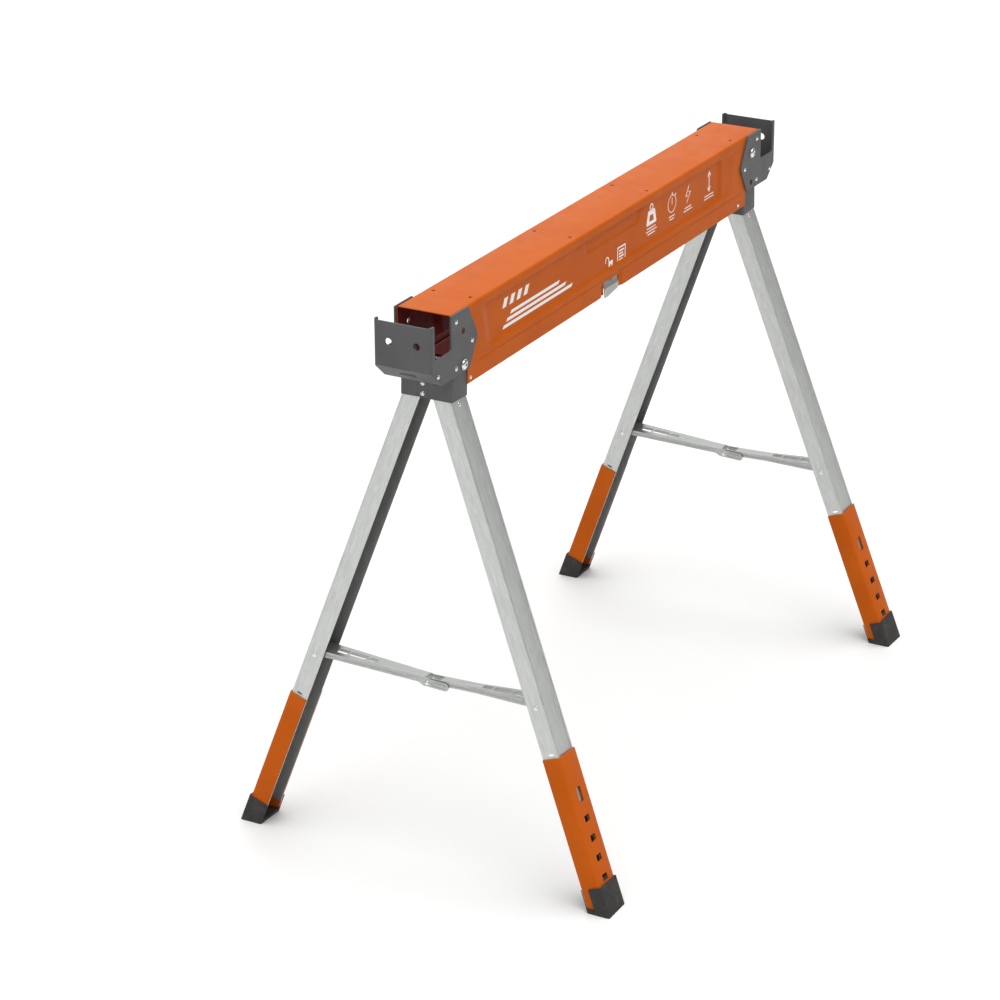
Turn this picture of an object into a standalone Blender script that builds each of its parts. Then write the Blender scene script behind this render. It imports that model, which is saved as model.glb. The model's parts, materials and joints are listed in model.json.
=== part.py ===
"""Folding steel sawhorse: a channel beam on two folding leg pairs with telescoping feet.

The origin is on the floor under the beam's centre. X runs along the beam (the near end is -X), Y runs
across it (left is +Y) and Z is up. Every leg pair hangs in a plane that leans outward a little, so its
pieces are built in a frame on the pair's pivot bolt, its legs in frames on the splay pins and its brace
links in frames on the brace pins.
"""

import math

import bmesh
import bpy
from mathutils import Matrix, Vector

NAME = "folding_sawhorse"

# ---- clearances and metal thicknesses
GAP = 0.0003
BEAM_SHEET = 0.0012
BRACKET_SHEET = 0.0022
HEAD_SHEET = 0.0012
LEG_SHEET = 0.0012
FOOT_TUBE_SHEET = 0.0016
LINK_SHEET = 0.0012
OVERSHOOT = 0.02
BEND_SHARE = 0.4

# ---- beam
BEAM_LENGTH = 0.889
BEAM_HALF_WIDTH = 0.0382
BEAM_TOP = 0.762
BEAM_BOTTOM = 0.659
BEAM_CORNER = 0.003
BEAM_END_CUT_X = 0.4036
BEAM_END_CUT_Z = 0.680
BEAM_PANEL_DEPTH = 0.0004
BEAM_PANEL = ((0.352, 0.690), (0.369, 0.752))
TOP_HOLE_X = (0.111, 0.3745)
TOP_HOLE_Y = 0.0262
TOP_HOLE_RADIUS = 0.0024

# ---- end brackets
WING_OUTER_Y = 0.0407
PLATE_X = 0.4965
PLATE_TOP = 0.761
PLATE_BOTTOM = 0.7025
PLATE_TOP_ROUND = 0.001
BRACKET_HOLLOW_TOE = 0.012
PLATE_HOLE_Y = 0.0198
PLATE_HOLE_Z = 0.7348
PLATE_HOLE_RADIUS = 0.005
CHAMFER_X = 0.471
WING_BOTTOM = 0.680
WING_TIP_X = 0.3815
WING_TIP_Z = 0.718
WING_ROOT_X = 0.4035
CRADLE_X = (0.4475, 0.488)
CRADLE_BOTTOM = 0.717
CRADLE_CORNER = 0.004
FLANGE_SLOT_HALF_WIDTH = 0.0025
FLANGE_SLOT_HALF_LENGTH = 0.012
WING_RIVET_RADIUS = 0.0032
WING_RIVET_CROWN = 0.0012
WING_RIVETS = ((0.4345, 0.7507), (0.3955, 0.715), (0.4355, 0.690), (0.480, 0.694))

# ---- pivot bolts: the near pair hangs low and the far pair high, so that they fold past each other
PIVOT_X = 0.4175
PIVOT_LOW_Z = 0.690
PIVOT_HIGH_Z = 0.734
BOLT_RADIUS = 0.004
BOLT_HEAD_RADIUS = 0.0072
BOLT_HEAD_HEIGHT = 0.0042
NUT_HEIGHT = 0.0062
THREAD_PAST_NUT = 0.002
SLEEVE_RADIUS = 0.0065

# ---- leg geometry
LEAN = math.radians(2.778)
SPLAY = math.radians(20.24)
LEG_OUTER_X_AT = (0.4403, 0.650)
LEG_DEPTH = 0.0377
LEG_HALF_WIDTH = 0.01225
LEG_RIB_WIDTH = 0.0032
LEG_RIB_STEP = 0.0011
SPLAY_PIN_Y = 0.0145
SPLAY_PIN_Z = 0.6665
SPLAY_PIN_RADIUS = 0.003
LEG_ABOVE_PIN = 0.007
LEG_FLOOR_CLEARANCE = 0.022
LEG_RELIEF_AT = (0.0825, 0.1545)
LEG_RELIEF_WIDTH = 0.011

# ---- head sockets
HEAD_HALF_WIDTH = 0.0368
HEAD_BOTTOM_Z = 0.645
HEAD_SKIRT_HEIGHT = 0.030
HEAD_CHEEK_RADIUS = 0.015
CHEEK_OVERLAP = 0.002
CHEEK_SHOULDER = 0.001
HEAD_SEAM_Y = (-0.0065, -0.002, 0.012)
HEAD_RIVET_Y = 0.0055
HEAD_RIVETS_Z = (0.6634, 0.650)
HEAD_SEAM_DEPTH = 0.0004
HEAD_STRIP_DEPTH = 0.0003

# ---- small rivets: shank radius, head radius and head height
RIVET_SHANK = 0.0018
RIVET_HEAD = 0.0032
LEG_RIVET_HEAD = 0.003
RIVET_HEAD_HEIGHT = 0.0011
RIVET_SEAT = 0.0001
LEG_RIVET_Z = 0.6395
PIN_FLARE = 0.0042
PIN_FLARE_HEIGHT = 0.0008
BRACE_PIN_FLARE = 0.0036
BRACE_PIN_FLARE_HEIGHT = 0.0007
KNUCKLE_SHANK = 0.0022
KNUCKLE_HEAD = 0.0034
KNUCKLE_HEAD_HEIGHT = 0.0012

# ---- brace links
BRACE_PIN_Z = 0.2625
BRACE_PIN_RADIUS = 0.0025
LINK_LENGTH = 0.1637
LINK_TILT = math.radians(2.1)
LINK_TOP = 0.0068
LINK_FLANGE = 0.008
LINK_EAR_RADIUS = 0.0072
LINK_EAR_NECK = 0.0096
BLADE_TIP_RADIUS = 0.0048
BLADE_NOTCH = 0.019
BLADE_FLANGE_BACK = 0.008
LINK_TOP_BACK = 0.003
LOBE_TOP_BACK = 0.002
LOBE_NECK = 0.001
EAR_TOP_BACK = 0.0025
LOBE_UP = 0.0007
PAST_TIP = 0.05
LINK_DEEP = 0.02
LINK_BROAD_TO = 0.012
FORK_NARROW_BEFORE = 0.012
FORK_SHORT_FLANGE = 0.006
LINK_HALF_WIDTH = 0.015
FORK_HALF_WIDTH = 0.009
BLADE_HALF_WIDTH = 0.0072
LINK_CROSSING = 0.070
LINK_SLOTS = ((0.0257, 0.0412), (0.0434, 0.0692), (0.0717, 0.0857))
LINK_SLOT_WIDTHS = (0.012, 0.011, 0.009)
LOBE = (0.0065, 0.0316, 0.0055)

# ---- foot tubes, locks and rubber feet
TUBE_TOP_Z = 0.2037
TUBE_BOTTOM_Z = 0.006
TUBE_SLOT_AT = 0.0569
TUBE_SLOT_LENGTH = 0.021
TUBE_SLOT_WIDTH = 0.010
TUBE_HOLES_AT = (0.0892, 0.1161, 0.1430, 0.1701)
TUBE_HOLE_WIDTH = 0.012
TUBE_HOLE_HEIGHT = 0.009
FOOT_WALL_X = 0.0019
FOOT_WALL_Y = 0.0022
FOOT_INNER_Y = 0.0139
FOOT_HEIGHT = 0.041
FOOT_SOLE = 0.0055
FOOT_OPENING_Y = 0.0017
LOCK_STRIP_WIDTH = 0.014
LOCK_STRIP_LENGTH = 0.105
LOCK_STRIP_THICKNESS = 0.0008
LOCK_STRIP_BELOW = 0.008

# ---- latch in the beam's right wall
LATCH_NOTCH_X = (-0.040, 0.0075)
LATCH_NOTCH_TOP = 0.675
LATCH_X = (-0.033, 0.006)
LATCH_BOTTOM = 0.652
LATCH_PIN_Y = -0.0335
LATCH_PIN_Z = 0.6785
LATCH_PIN_RADIUS = 0.0015
LATCH_SPRING_X = (-0.0185, -0.0085)
LATCH_SPRING_RADIUS = 0.0024
LATCH_COLLAR_RADIUS = 0.0026
LATCH_SHEET = 0.0014
LATCH_SHELF = 0.0012
LATCH_SHELF_DROP = 0.0024
LATCH_INSET = 0.0002
LATCH_CORNER = 0.006
LATCH_LUG = 0.0024
LATCH_LUG_CLEARANCE = 0.0008
LATCH_LUG_HALF = 0.003
LATCH_WINDOW_REACH = 0.004

ENDS = {"near": -1, "far": 1}
SIDES = {"left": 1, "right": -1}

# ---- colours: linear RGB, roughness, metallic
PAINTS = {
    "orange_paint": ((0.62, 0.14, 0.03, 1.0), 0.38, 0.0),
    "grey_paint": ((0.09, 0.09, 0.09, 1.0), 0.45, 0.0),
    "galvanised": ((0.55, 0.57, 0.55, 1.0), 0.42, 1.0),
    "zinc": ((0.66, 0.66, 0.64, 1.0), 0.30, 1.0),
    "spring_steel": ((0.35, 0.35, 0.36, 1.0), 0.35, 1.0),
    "rubber": ((0.03, 0.028, 0.027, 1.0), 0.85, 0.0),
}


def clear_scene():
    for item in list(bpy.data.objects):
        bpy.data.objects.remove(item, do_unlink=True)


def new_collection(name):
    collection = bpy.data.collections.new(name)
    bpy.context.scene.collection.children.link(collection)
    return collection


clear_scene()
PARTS = new_collection(NAME)
TOOLS = new_collection(NAME + "_cutters")


def make_material(name):
    colour, roughness, metallic = PAINTS[name]
    material = bpy.data.materials.new(name)
    material.use_nodes = True
    shader = material.node_tree.nodes["Principled BSDF"]
    shader.inputs["Base Color"].default_value = colour
    shader.inputs["Roughness"].default_value = roughness
    shader.inputs["Metallic"].default_value = metallic
    material.diffuse_color = colour
    return material


MATERIALS = {name: make_material(name) for name in PAINTS}


# ---------------------------------------------------------------- shape helpers
def frame_at(name, parent=None, location=(0, 0, 0), rotation=(0, 0, 0)):
    """An empty that stands on a joint's axis and carries the pieces built around it."""
    empty = bpy.data.objects.new(name, None)
    empty.location = location
    empty.rotation_euler = rotation
    empty.parent = parent
    PARTS.objects.link(empty)
    return empty


def mesh_object(name, mesh, frame, material=None):
    """A piece when it has a material, otherwise a hidden cutter."""
    item = bpy.data.objects.new(name, mesh)
    item.parent = frame
    if material is None:
        TOOLS.objects.link(item)
        item.hide_render = True
        item.display_type = "WIRE"
    else:
        PARTS.objects.link(item)
        mesh.materials.append(MATERIALS[material])
    return item


def box(name, corner_a, corner_b, frame=None, material=None):
    low = Vector([min(a, b) for a, b in zip(corner_a, corner_b)])
    high = Vector([max(a, b) for a, b in zip(corner_a, corner_b)])
    size = high - low
    mesh = bpy.data.meshes.new(name)
    shape = bmesh.new()
    place = Matrix.Translation((low + high) / 2) @ Matrix.Diagonal((size.x, size.y, size.z, 1.0))
    bmesh.ops.create_cube(shape, size=1.0, matrix=place)
    shape.to_mesh(mesh)
    shape.free()
    return mesh_object(name, mesh, frame, material)


def rod(name, start, end, radius, frame=None, material=None, sides=24):
    start = Vector(start)
    span = Vector(end) - start
    mesh = bpy.data.meshes.new(name)
    shape = bmesh.new()
    turn = span.to_track_quat("Z", "Y").to_matrix().to_4x4()
    bmesh.ops.create_cone(
        shape,
        cap_ends=True,
        segments=sides,
        radius1=radius,
        radius2=radius,
        depth=span.length,
        matrix=Matrix.Translation(start + span / 2) @ turn,
    )
    shape.to_mesh(mesh)
    shape.free()
    mesh.shade_smooth()
    mesh.set_sharp_from_angle(angle=math.radians(35))
    return mesh_object(name, mesh, frame, material)


PLANES = {
    "XY": Matrix(((1, 0, 0), (0, 1, 0), (0, 0, 1))),
    "XZ": Matrix(((1, 0, 0), (0, 0, -1), (0, 1, 0))),
    "YZ": Matrix(((0, 0, 1), (1, 0, 0), (0, 1, 0))),
}
NORMAL_AXIS = {"XY": 2, "XZ": 1, "YZ": 0}


def prism(name, outline, plane, low, high, frame=None, material=None):
    """A flat outline in one plane, extruded from low to high along the plane's normal."""
    curve = bpy.data.curves.new(name, "CURVE")
    curve.dimensions = "2D"
    curve.fill_mode = "BOTH"
    curve.extrude = abs(high - low) / 2
    spline = curve.splines.new("POLY")
    spline.points.add(len(outline) - 1)
    for point, (across, up) in zip(spline.points, outline):
        point.co = (across, up, 0.0, 1.0)
    spline.use_cyclic_u = True
    drawn = bpy.data.objects.new(name + "_outline", curve)
    TOOLS.objects.link(drawn)
    evaluated = drawn.evaluated_get(bpy.context.evaluated_depsgraph_get())
    mesh = bpy.data.meshes.new_from_object(evaluated)
    bpy.data.objects.remove(drawn, do_unlink=True)
    mesh.name = name
    shape = bmesh.new()
    shape.from_mesh(mesh)
    bmesh.ops.remove_doubles(shape, verts=shape.verts, dist=1e-6)
    offset = Vector((0, 0, 0))
    offset[NORMAL_AXIS[plane]] = (low + high) / 2
    shape.transform(Matrix.Translation(offset) @ PLANES[plane].to_4x4())
    bmesh.ops.recalc_face_normals(shape, faces=shape.faces)
    if shape.calc_volume(signed=True) < 0:
        bmesh.ops.reverse_faces(shape, faces=shape.faces)
    shape.to_mesh(mesh)
    shape.free()
    mesh.materials.clear()
    return mesh_object(name, mesh, frame, material)


def boolean(target, tools, operation="DIFFERENCE"):
    for tool in tools:
        modifier = target.modifiers.new(operation.lower(), "BOOLEAN")
        modifier.operation = operation
        modifier.object = tool


def arc(centre, radius, start, end, steps=6):
    """Points on a circle from start to end, in degrees."""
    points = []
    for i in range(steps + 1):
        angle = math.radians(start + (end - start) * i / steps)
        points.append((centre[0] + radius * math.cos(angle), centre[1] + radius * math.sin(angle)))
    return points


def mirrored(half):
    """A closed outline from its right half, listed from bottom to top."""
    return half + [(-across, up) for across, up in reversed(half)]


# ---------------------------------------------------------------- beam and brackets
def build_beam():
    half = BEAM_LENGTH / 2
    outside = [(BEAM_HALF_WIDTH, BEAM_BOTTOM)]
    corner = (BEAM_HALF_WIDTH - BEAM_CORNER, BEAM_TOP - BEAM_CORNER)
    outside += arc(corner, BEAM_CORNER, 0, 90, 4)
    inner_wall = BEAM_HALF_WIDTH - BEAM_SHEET
    inside = [(inner_wall, BEAM_BOTTOM)] + arc(corner, BEAM_CORNER - BEAM_SHEET, 0, 90, 4)
    section = mirrored(outside) + list(reversed(mirrored(inside)))
    beam = prism("beam_shell", section, "YZ", -half, half, None, "orange_paint")
    cuts = []
    for end, e in ENDS.items():
        low = (e * BEAM_END_CUT_X, -WING_OUTER_Y, BEAM_BOTTOM - OVERSHOOT)
        high = (e * (half + OVERSHOOT), WING_OUTER_Y, BEAM_END_CUT_Z)
        cuts.append(box("beam_end_cut_" + end, low, high))
        for height in (PIVOT_LOW_Z, PIVOT_HIGH_Z):
            label = "beam_bolt_hole_%s_%d" % (end, round(height * 1000))
            across = WING_OUTER_Y + OVERSHOOT
            start, stop = (e * PIVOT_X, -across, height), (e * PIVOT_X, across, height)
            cuts.append(rod(label, start, stop, BOLT_RADIUS + GAP))
        for number, along in enumerate(TOP_HOLE_X):
            for side, s in SIDES.items():
                label = "beam_top_hole_%s_%s_%d" % (end, side, number)
                foot = (e * along, s * TOP_HOLE_Y, BEAM_TOP - OVERSHOOT)
                head = (e * along, s * TOP_HOLE_Y, BEAM_TOP + OVERSHOOT)
                cuts.append(rod(label, foot, head, TOP_HOLE_RADIUS, sides=12))
    panel = mirrored(list(BEAM_PANEL))
    for side, s in SIDES.items():
        inner = s * (BEAM_HALF_WIDTH - BEAM_PANEL_DEPTH)
        outer = s * (BEAM_HALF_WIDTH + OVERSHOOT)
        cuts.append(prism("beam_panel_" + side, panel, "XZ", inner, outer))
    notch_low = (LATCH_NOTCH_X[0], -BEAM_HALF_WIDTH - OVERSHOOT, BEAM_BOTTOM - OVERSHOOT)
    notch_high = (LATCH_NOTCH_X[1], -BEAM_HALF_WIDTH + OVERSHOOT / 2, LATCH_NOTCH_TOP)
    cuts.append(box("latch_notch", notch_low, notch_high))
    lugs = []
    lug_starts = (LATCH_X[0] - LATCH_LUG_CLEARANCE - LATCH_LUG, LATCH_X[1] + LATCH_LUG_CLEARANCE)
    for number, along in enumerate(lug_starts):
        low = (along, -BEAM_HALF_WIDTH + BEAM_SHEET / 2, LATCH_PIN_Z - LATCH_LUG_HALF)
        high = (along + LATCH_LUG, LATCH_PIN_Y + LATCH_LUG_HALF, LATCH_PIN_Z + LATCH_LUG_HALF)
        lugs.append(box("latch_lug_%d" % number, low, high))
    boolean(beam, lugs, "UNION")
    start = (LATCH_X[0] - OVERSHOOT, LATCH_PIN_Y, LATCH_PIN_Z)
    stop = (LATCH_X[1] + OVERSHOOT, LATCH_PIN_Y, LATCH_PIN_Z)
    cuts.append(rod("latch_lug_hole", start, stop, LATCH_PIN_RADIUS + GAP, sides=16))
    boolean(beam, cuts)


def bracket_outline(inset):
    """Side view of a bracket as (distance from the centre, height); inset moves the plate inward."""
    slope = Vector((PLATE_X - CHAMFER_X, PLATE_BOTTOM - WING_BOTTOM)).normalized()
    normal = Vector((-slope.y, slope.x)) * inset
    plate = PLATE_X - inset
    foot = Vector((CHAMFER_X, WING_BOTTOM)) + normal
    knee_up = foot.y + (plate - foot.x) * slope.y / slope.x
    return plate, (plate, knee_up), (foot.x, foot.y)


def build_bracket(end, e):
    plate, knee, foot = bracket_outline(0.0)
    side_view = [(WING_ROOT_X, WING_BOTTOM), foot, knee]
    top_round = PLATE_TOP_ROUND
    side_view += arc((plate - top_round, PLATE_TOP), top_round, 0, 90, 2)
    side_view += [(WING_ROOT_X + top_round, PLATE_TOP + top_round), (WING_TIP_X, WING_TIP_Z)]
    side_view = [(e * along, up) for along, up in side_view]
    name = "end_bracket_" + end
    bracket = prism(name, side_view, "XZ", -WING_OUTER_Y, WING_OUTER_Y, None, "grey_paint")
    plate, knee, foot = bracket_outline(BRACKET_SHEET)
    low_point = (foot[0] - BRACKET_HOLLOW_TOE, foot[1] - BRACKET_HOLLOW_TOE)
    hollow = [(WING_TIP_X - OVERSHOOT, low_point[1]), low_point, foot, knee]
    hollow += [(plate, PLATE_TOP + OVERSHOOT), (WING_TIP_X - OVERSHOOT, PLATE_TOP + OVERSHOOT)]
    hollow = [(e * along, up) for along, up in hollow]
    inner_y = BEAM_HALF_WIDTH + GAP
    cuts = [prism("bracket_hollow_" + end, hollow, "XZ", -inner_y, inner_y)]
    across = WING_OUTER_Y + OVERSHOOT
    corner = CRADLE_CORNER
    low, high = CRADLE_X
    notch = arc((low + corner, CRADLE_BOTTOM + corner), corner, 180, 270, 4)
    notch += arc((high - corner, CRADLE_BOTTOM + corner), corner, 270, 360, 4)
    notch += [(high, PLATE_TOP + OVERSHOOT), (low, PLATE_TOP + OVERSHOOT)]
    notch = [(e * along, up) for along, up in notch]
    cuts.append(prism("bracket_cradle_" + end, notch, "XZ", -across, across))
    for height in (PIVOT_LOW_Z, PIVOT_HIGH_Z):
        label = "bracket_bolt_hole_%s_%d" % (end, round(height * 1000))
        start, stop = (e * PIVOT_X, -across, height), (e * PIVOT_X, across, height)
        cuts.append(rod(label, start, stop, BOLT_RADIUS + GAP))
    for side, s in SIDES.items():
        start = (e * (PLATE_X - OVERSHOOT / 2), s * PLATE_HOLE_Y, PLATE_HOLE_Z)
        stop = (e * (PLATE_X + OVERSHOOT), s * PLATE_HOLE_Y, PLATE_HOLE_Z)
        cuts.append(rod("plate_hole_%s_%s" % (end, side), start, stop, PLATE_HOLE_RADIUS))
    slot_x = (PLATE_X + CHAMFER_X) / 2
    slot_z = (PLATE_BOTTOM + WING_BOTTOM) / 2
    half_wide, half_long = FLANGE_SLOT_HALF_WIDTH, FLANGE_SLOT_HALF_LENGTH
    slot_low = (e * (slot_x - half_wide), -half_long, slot_z - half_long)
    slot_high = (e * (slot_x + half_wide), half_long, slot_z + half_long)
    cuts.append(box("flange_slot_" + end, slot_low, slot_high))
    heads = []
    for number, (along, up) in enumerate(WING_RIVETS):
        for side, s in SIDES.items():
            root = (e * along, s * (WING_OUTER_Y - BRACKET_SHEET / 2), up)
            crown = (e * along, s * (WING_OUTER_Y + WING_RIVET_CROWN), up)
            label = "wing_rivet_%s_%s_%d" % (end, side, number)
            heads.append(rod(label, root, crown, WING_RIVET_RADIUS, sides=12))
    boolean(bracket, cuts)
    boolean(bracket, heads, "UNION")


# ---------------------------------------------------------------- pivot bolts and sleeves
def build_bolt(end, frame):
    outer = WING_OUTER_Y + GAP
    start, stop = (0, -outer - BOLT_HEAD_HEIGHT / 2, 0), (0, outer + NUT_HEIGHT + THREAD_PAST_NUT, 0)
    bolt = rod("pivot_bolt_" + end, start, stop, BOLT_RADIUS, frame, "zinc")
    start, stop = (0, -outer - BOLT_HEAD_HEIGHT, 0), (0, -outer, 0)
    head = rod("bolt_head_" + end, start, stop, BOLT_HEAD_RADIUS, frame, sides=6)
    boolean(bolt, [head], "UNION")
    start, stop = (0, outer, 0), (0, outer + NUT_HEIGHT, 0)
    nut = rod("pivot_nut_" + end, start, stop, BOLT_HEAD_RADIUS, frame, "zinc", 6)
    thread = rod("nut_bore_" + end, (0, 0, 0), (0, outer + OVERSHOOT, 0), BOLT_RADIUS + GAP, frame)
    boolean(nut, [thread])
    half = HEAD_HALF_WIDTH - GAP / 3
    sleeve = rod("pivot_sleeve_" + end, (0, -half, 0), (0, half, 0), SLEEVE_RADIUS, frame, "zinc")
    start, stop = (0, -half - OVERSHOOT, 0), (0, half + OVERSHOOT, 0)
    bore = rod("sleeve_bore_" + end, start, stop, BOLT_RADIUS + GAP, frame)
    boolean(sleeve, [bore])


# ---------------------------------------------------------------- one leg pair
class Pair:
    """Places of one leg pair in its leaning frame; e is the sign of X that points away from the beam."""

    def __init__(self, end, e):
        self.end = end
        self.e = e
        self.pivot_z = PIVOT_LOW_Z if end == "near" else PIVOT_HIGH_Z
        outer_x, outer_z = LEG_OUTER_X_AT
        at_pivot = outer_x + (outer_z - self.pivot_z) * math.tan(LEAN)
        self.leg_out = (at_pivot - PIVOT_X) * math.cos(LEAN)
        self.leg_in = self.leg_out - LEG_DEPTH
        self.leg_mid = (self.leg_out + self.leg_in) / 2
        location = (e * PIVOT_X, 0, self.pivot_z)
        self.frame = frame_at("pivot_axis_" + end, None, location, (0, -e * LEAN, 0))

    def down_to(self, height):
        """Local z of the leg's middle plane at a world height."""
        return (height - self.pivot_z - self.leg_mid * math.sin(LEAN)) / math.cos(LEAN)


def build_head(pair):
    end, e, frame = pair.end, pair.e, pair.frame
    outer = pair.leg_out + GAP + HEAD_SHEET
    inner = pair.leg_in - GAP - HEAD_SHEET
    bottom = pair.down_to(HEAD_BOTTOM_Z)
    skirt_top = bottom + HEAD_SKIRT_HEIGHT
    half = HEAD_HALF_WIDTH
    low, high = (e * inner, -half, bottom), (e * outer, half, skirt_top)
    head = box("leg_head_" + end, low, high, frame, "grey_paint")
    neck = HEAD_CHEEK_RADIUS
    cheek_low = skirt_top - CHEEK_OVERLAP
    shoulder = skirt_top + CHEEK_SHOULDER
    cheek = [(inner, cheek_low), (outer, cheek_low), (outer, shoulder)]
    cheek += arc((0, 0), neck, 0, 180, 12)
    cheek += [(inner, shoulder)]
    cheek = [(e * across, up) for across, up in cheek]
    cheeks = prism("head_cheeks_" + end, cheek, "XZ", -half, half, frame)
    boolean(head, [cheeks], "UNION")
    wall = half - HEAD_SHEET
    hollow_low = (e * (inner + HEAD_SHEET), -wall, bottom - OVERSHOOT)
    hollow_high = (e * (outer - HEAD_SHEET), wall, neck + OVERSHOOT)
    cuts = [box("head_hollow_" + end, hollow_low, hollow_high, frame)]
    above_low = (e * (inner - OVERSHOOT), -wall, skirt_top)
    above_high = (e * (outer + OVERSHOOT), wall, neck + OVERSHOOT)
    cuts.append(box("head_above_" + end, above_low, above_high, frame))
    start, stop = (0, -half - OVERSHOOT, 0), (0, half + OVERSHOOT, 0)
    cuts.append(rod("head_bolt_hole_" + end, start, stop, SLEEVE_RADIUS + GAP, frame))
    pin_z = pair.down_to(SPLAY_PIN_Z)
    for side, s in SIDES.items():
        start = (e * (inner - OVERSHOOT), s * SPLAY_PIN_Y, pin_z)
        stop = (e * (outer + OVERSHOOT), s * SPLAY_PIN_Y, pin_z)
        label = "head_pin_hole_%s_%s" % (end, side)
        cuts.append(rod(label, start, stop, SPLAY_PIN_RADIUS + GAP, frame, sides=20))
        build_splay_pin(pair, side, s, pin_z)
    seam_low = (e * (outer - HEAD_SEAM_DEPTH), -HEAD_SEAM_Y[1], bottom - OVERSHOOT)
    seam_high = (e * (outer + OVERSHOOT), -HEAD_SEAM_Y[0], skirt_top + OVERSHOOT)
    cuts.append(box("head_seam_" + end, seam_low, seam_high, frame))
    strip_low = (e * (outer - HEAD_STRIP_DEPTH), HEAD_SEAM_Y[1], bottom - OVERSHOOT)
    strip_high = (e * (outer + OVERSHOOT), HEAD_SEAM_Y[2], skirt_top + OVERSHOOT)
    cuts.append(box("head_strip_" + end, strip_low, strip_high, frame))
    for number, height in enumerate(HEAD_RIVETS_Z):
        up = pair.down_to(height)
        root = (e * (outer - HEAD_SHEET), HEAD_RIVET_Y, up)
        seat = (e * (outer + RIVET_SEAT), HEAD_RIVET_Y, up)
        neck_end = (e * (outer + 2 * RIVET_SEAT), HEAD_RIVET_Y, up)
        tip = (e * (outer + RIVET_SEAT + RIVET_HEAD_HEIGHT), HEAD_RIVET_Y, up)
        rivet = rod("head_rivet_%s_%d" % (end, number + 1), root, neck_end, RIVET_SHANK, frame, "zinc", 16)
        crown = rod("head_rivet_crown_%s_%d" % (end, number), seat, tip, RIVET_HEAD, frame, sides=16)
        boolean(rivet, [crown], "UNION")
        hole_in = (e * (outer - HEAD_SHEET - GAP), HEAD_RIVET_Y, up)
        hole_out = (e * (outer + OVERSHOOT), HEAD_RIVET_Y, up)
        label = "head_rivet_hole_%s_%d" % (end, number)
        cuts.append(rod(label, hole_in, hole_out, RIVET_SHANK + GAP, frame, sides=16))
    boolean(head, cuts)


def build_splay_pin(pair, side, s, pin_z):
    """A headed pin through the head and the leg's two side walls."""
    e = pair.e
    reach_out = pair.leg_out + HEAD_SHEET + 2 * GAP
    reach_in = pair.leg_in - HEAD_SHEET - 2 * GAP
    name = "%s_%s" % (pair.end, side)
    start = (e * (reach_in - PIN_FLARE_HEIGHT), s * SPLAY_PIN_Y, pin_z)
    stop = (e * (reach_out + PIN_FLARE_HEIGHT), s * SPLAY_PIN_Y, pin_z)
    pin = rod("splay_pin_" + name, start, stop, SPLAY_PIN_RADIUS, pair.frame, "zinc", 20)
    seat = (e * reach_in, s * SPLAY_PIN_Y, pin_z)
    flare = rod("splay_pin_flare_" + name, start, seat, PIN_FLARE, pair.frame, sides=20)
    boolean(pin, [flare], "UNION")


def channel_outline(low, high, open_y, web_y, sheet, rib=0.0, step=0.0):
    """Channel section open toward open_y with its web at web_y, stepped in between two ribs if wanted."""
    turn = 1 if web_y > open_y else -1
    inner = web_y - turn * sheet
    points = [(low, open_y), (low, web_y)]
    if rib:
        points += [(low + rib, web_y), (low + rib + step, web_y - turn * step)]
        points += [(high - rib - step, web_y - turn * step), (high - rib, web_y)]
    bend = BEND_SHARE * sheet if rib else 0.0
    points += [(high, web_y), (high, open_y)]
    points += [(high - sheet, open_y), (high - sheet, inner - turn * bend)]
    if rib:
        points += [(high - rib, inner), (high - rib - step, inner - turn * step)]
        points += [(low + rib + step, inner - turn * step), (low + rib, inner)]
    points += [(low + sheet, inner - turn * bend), (low + sheet, open_y)]
    return points


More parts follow.
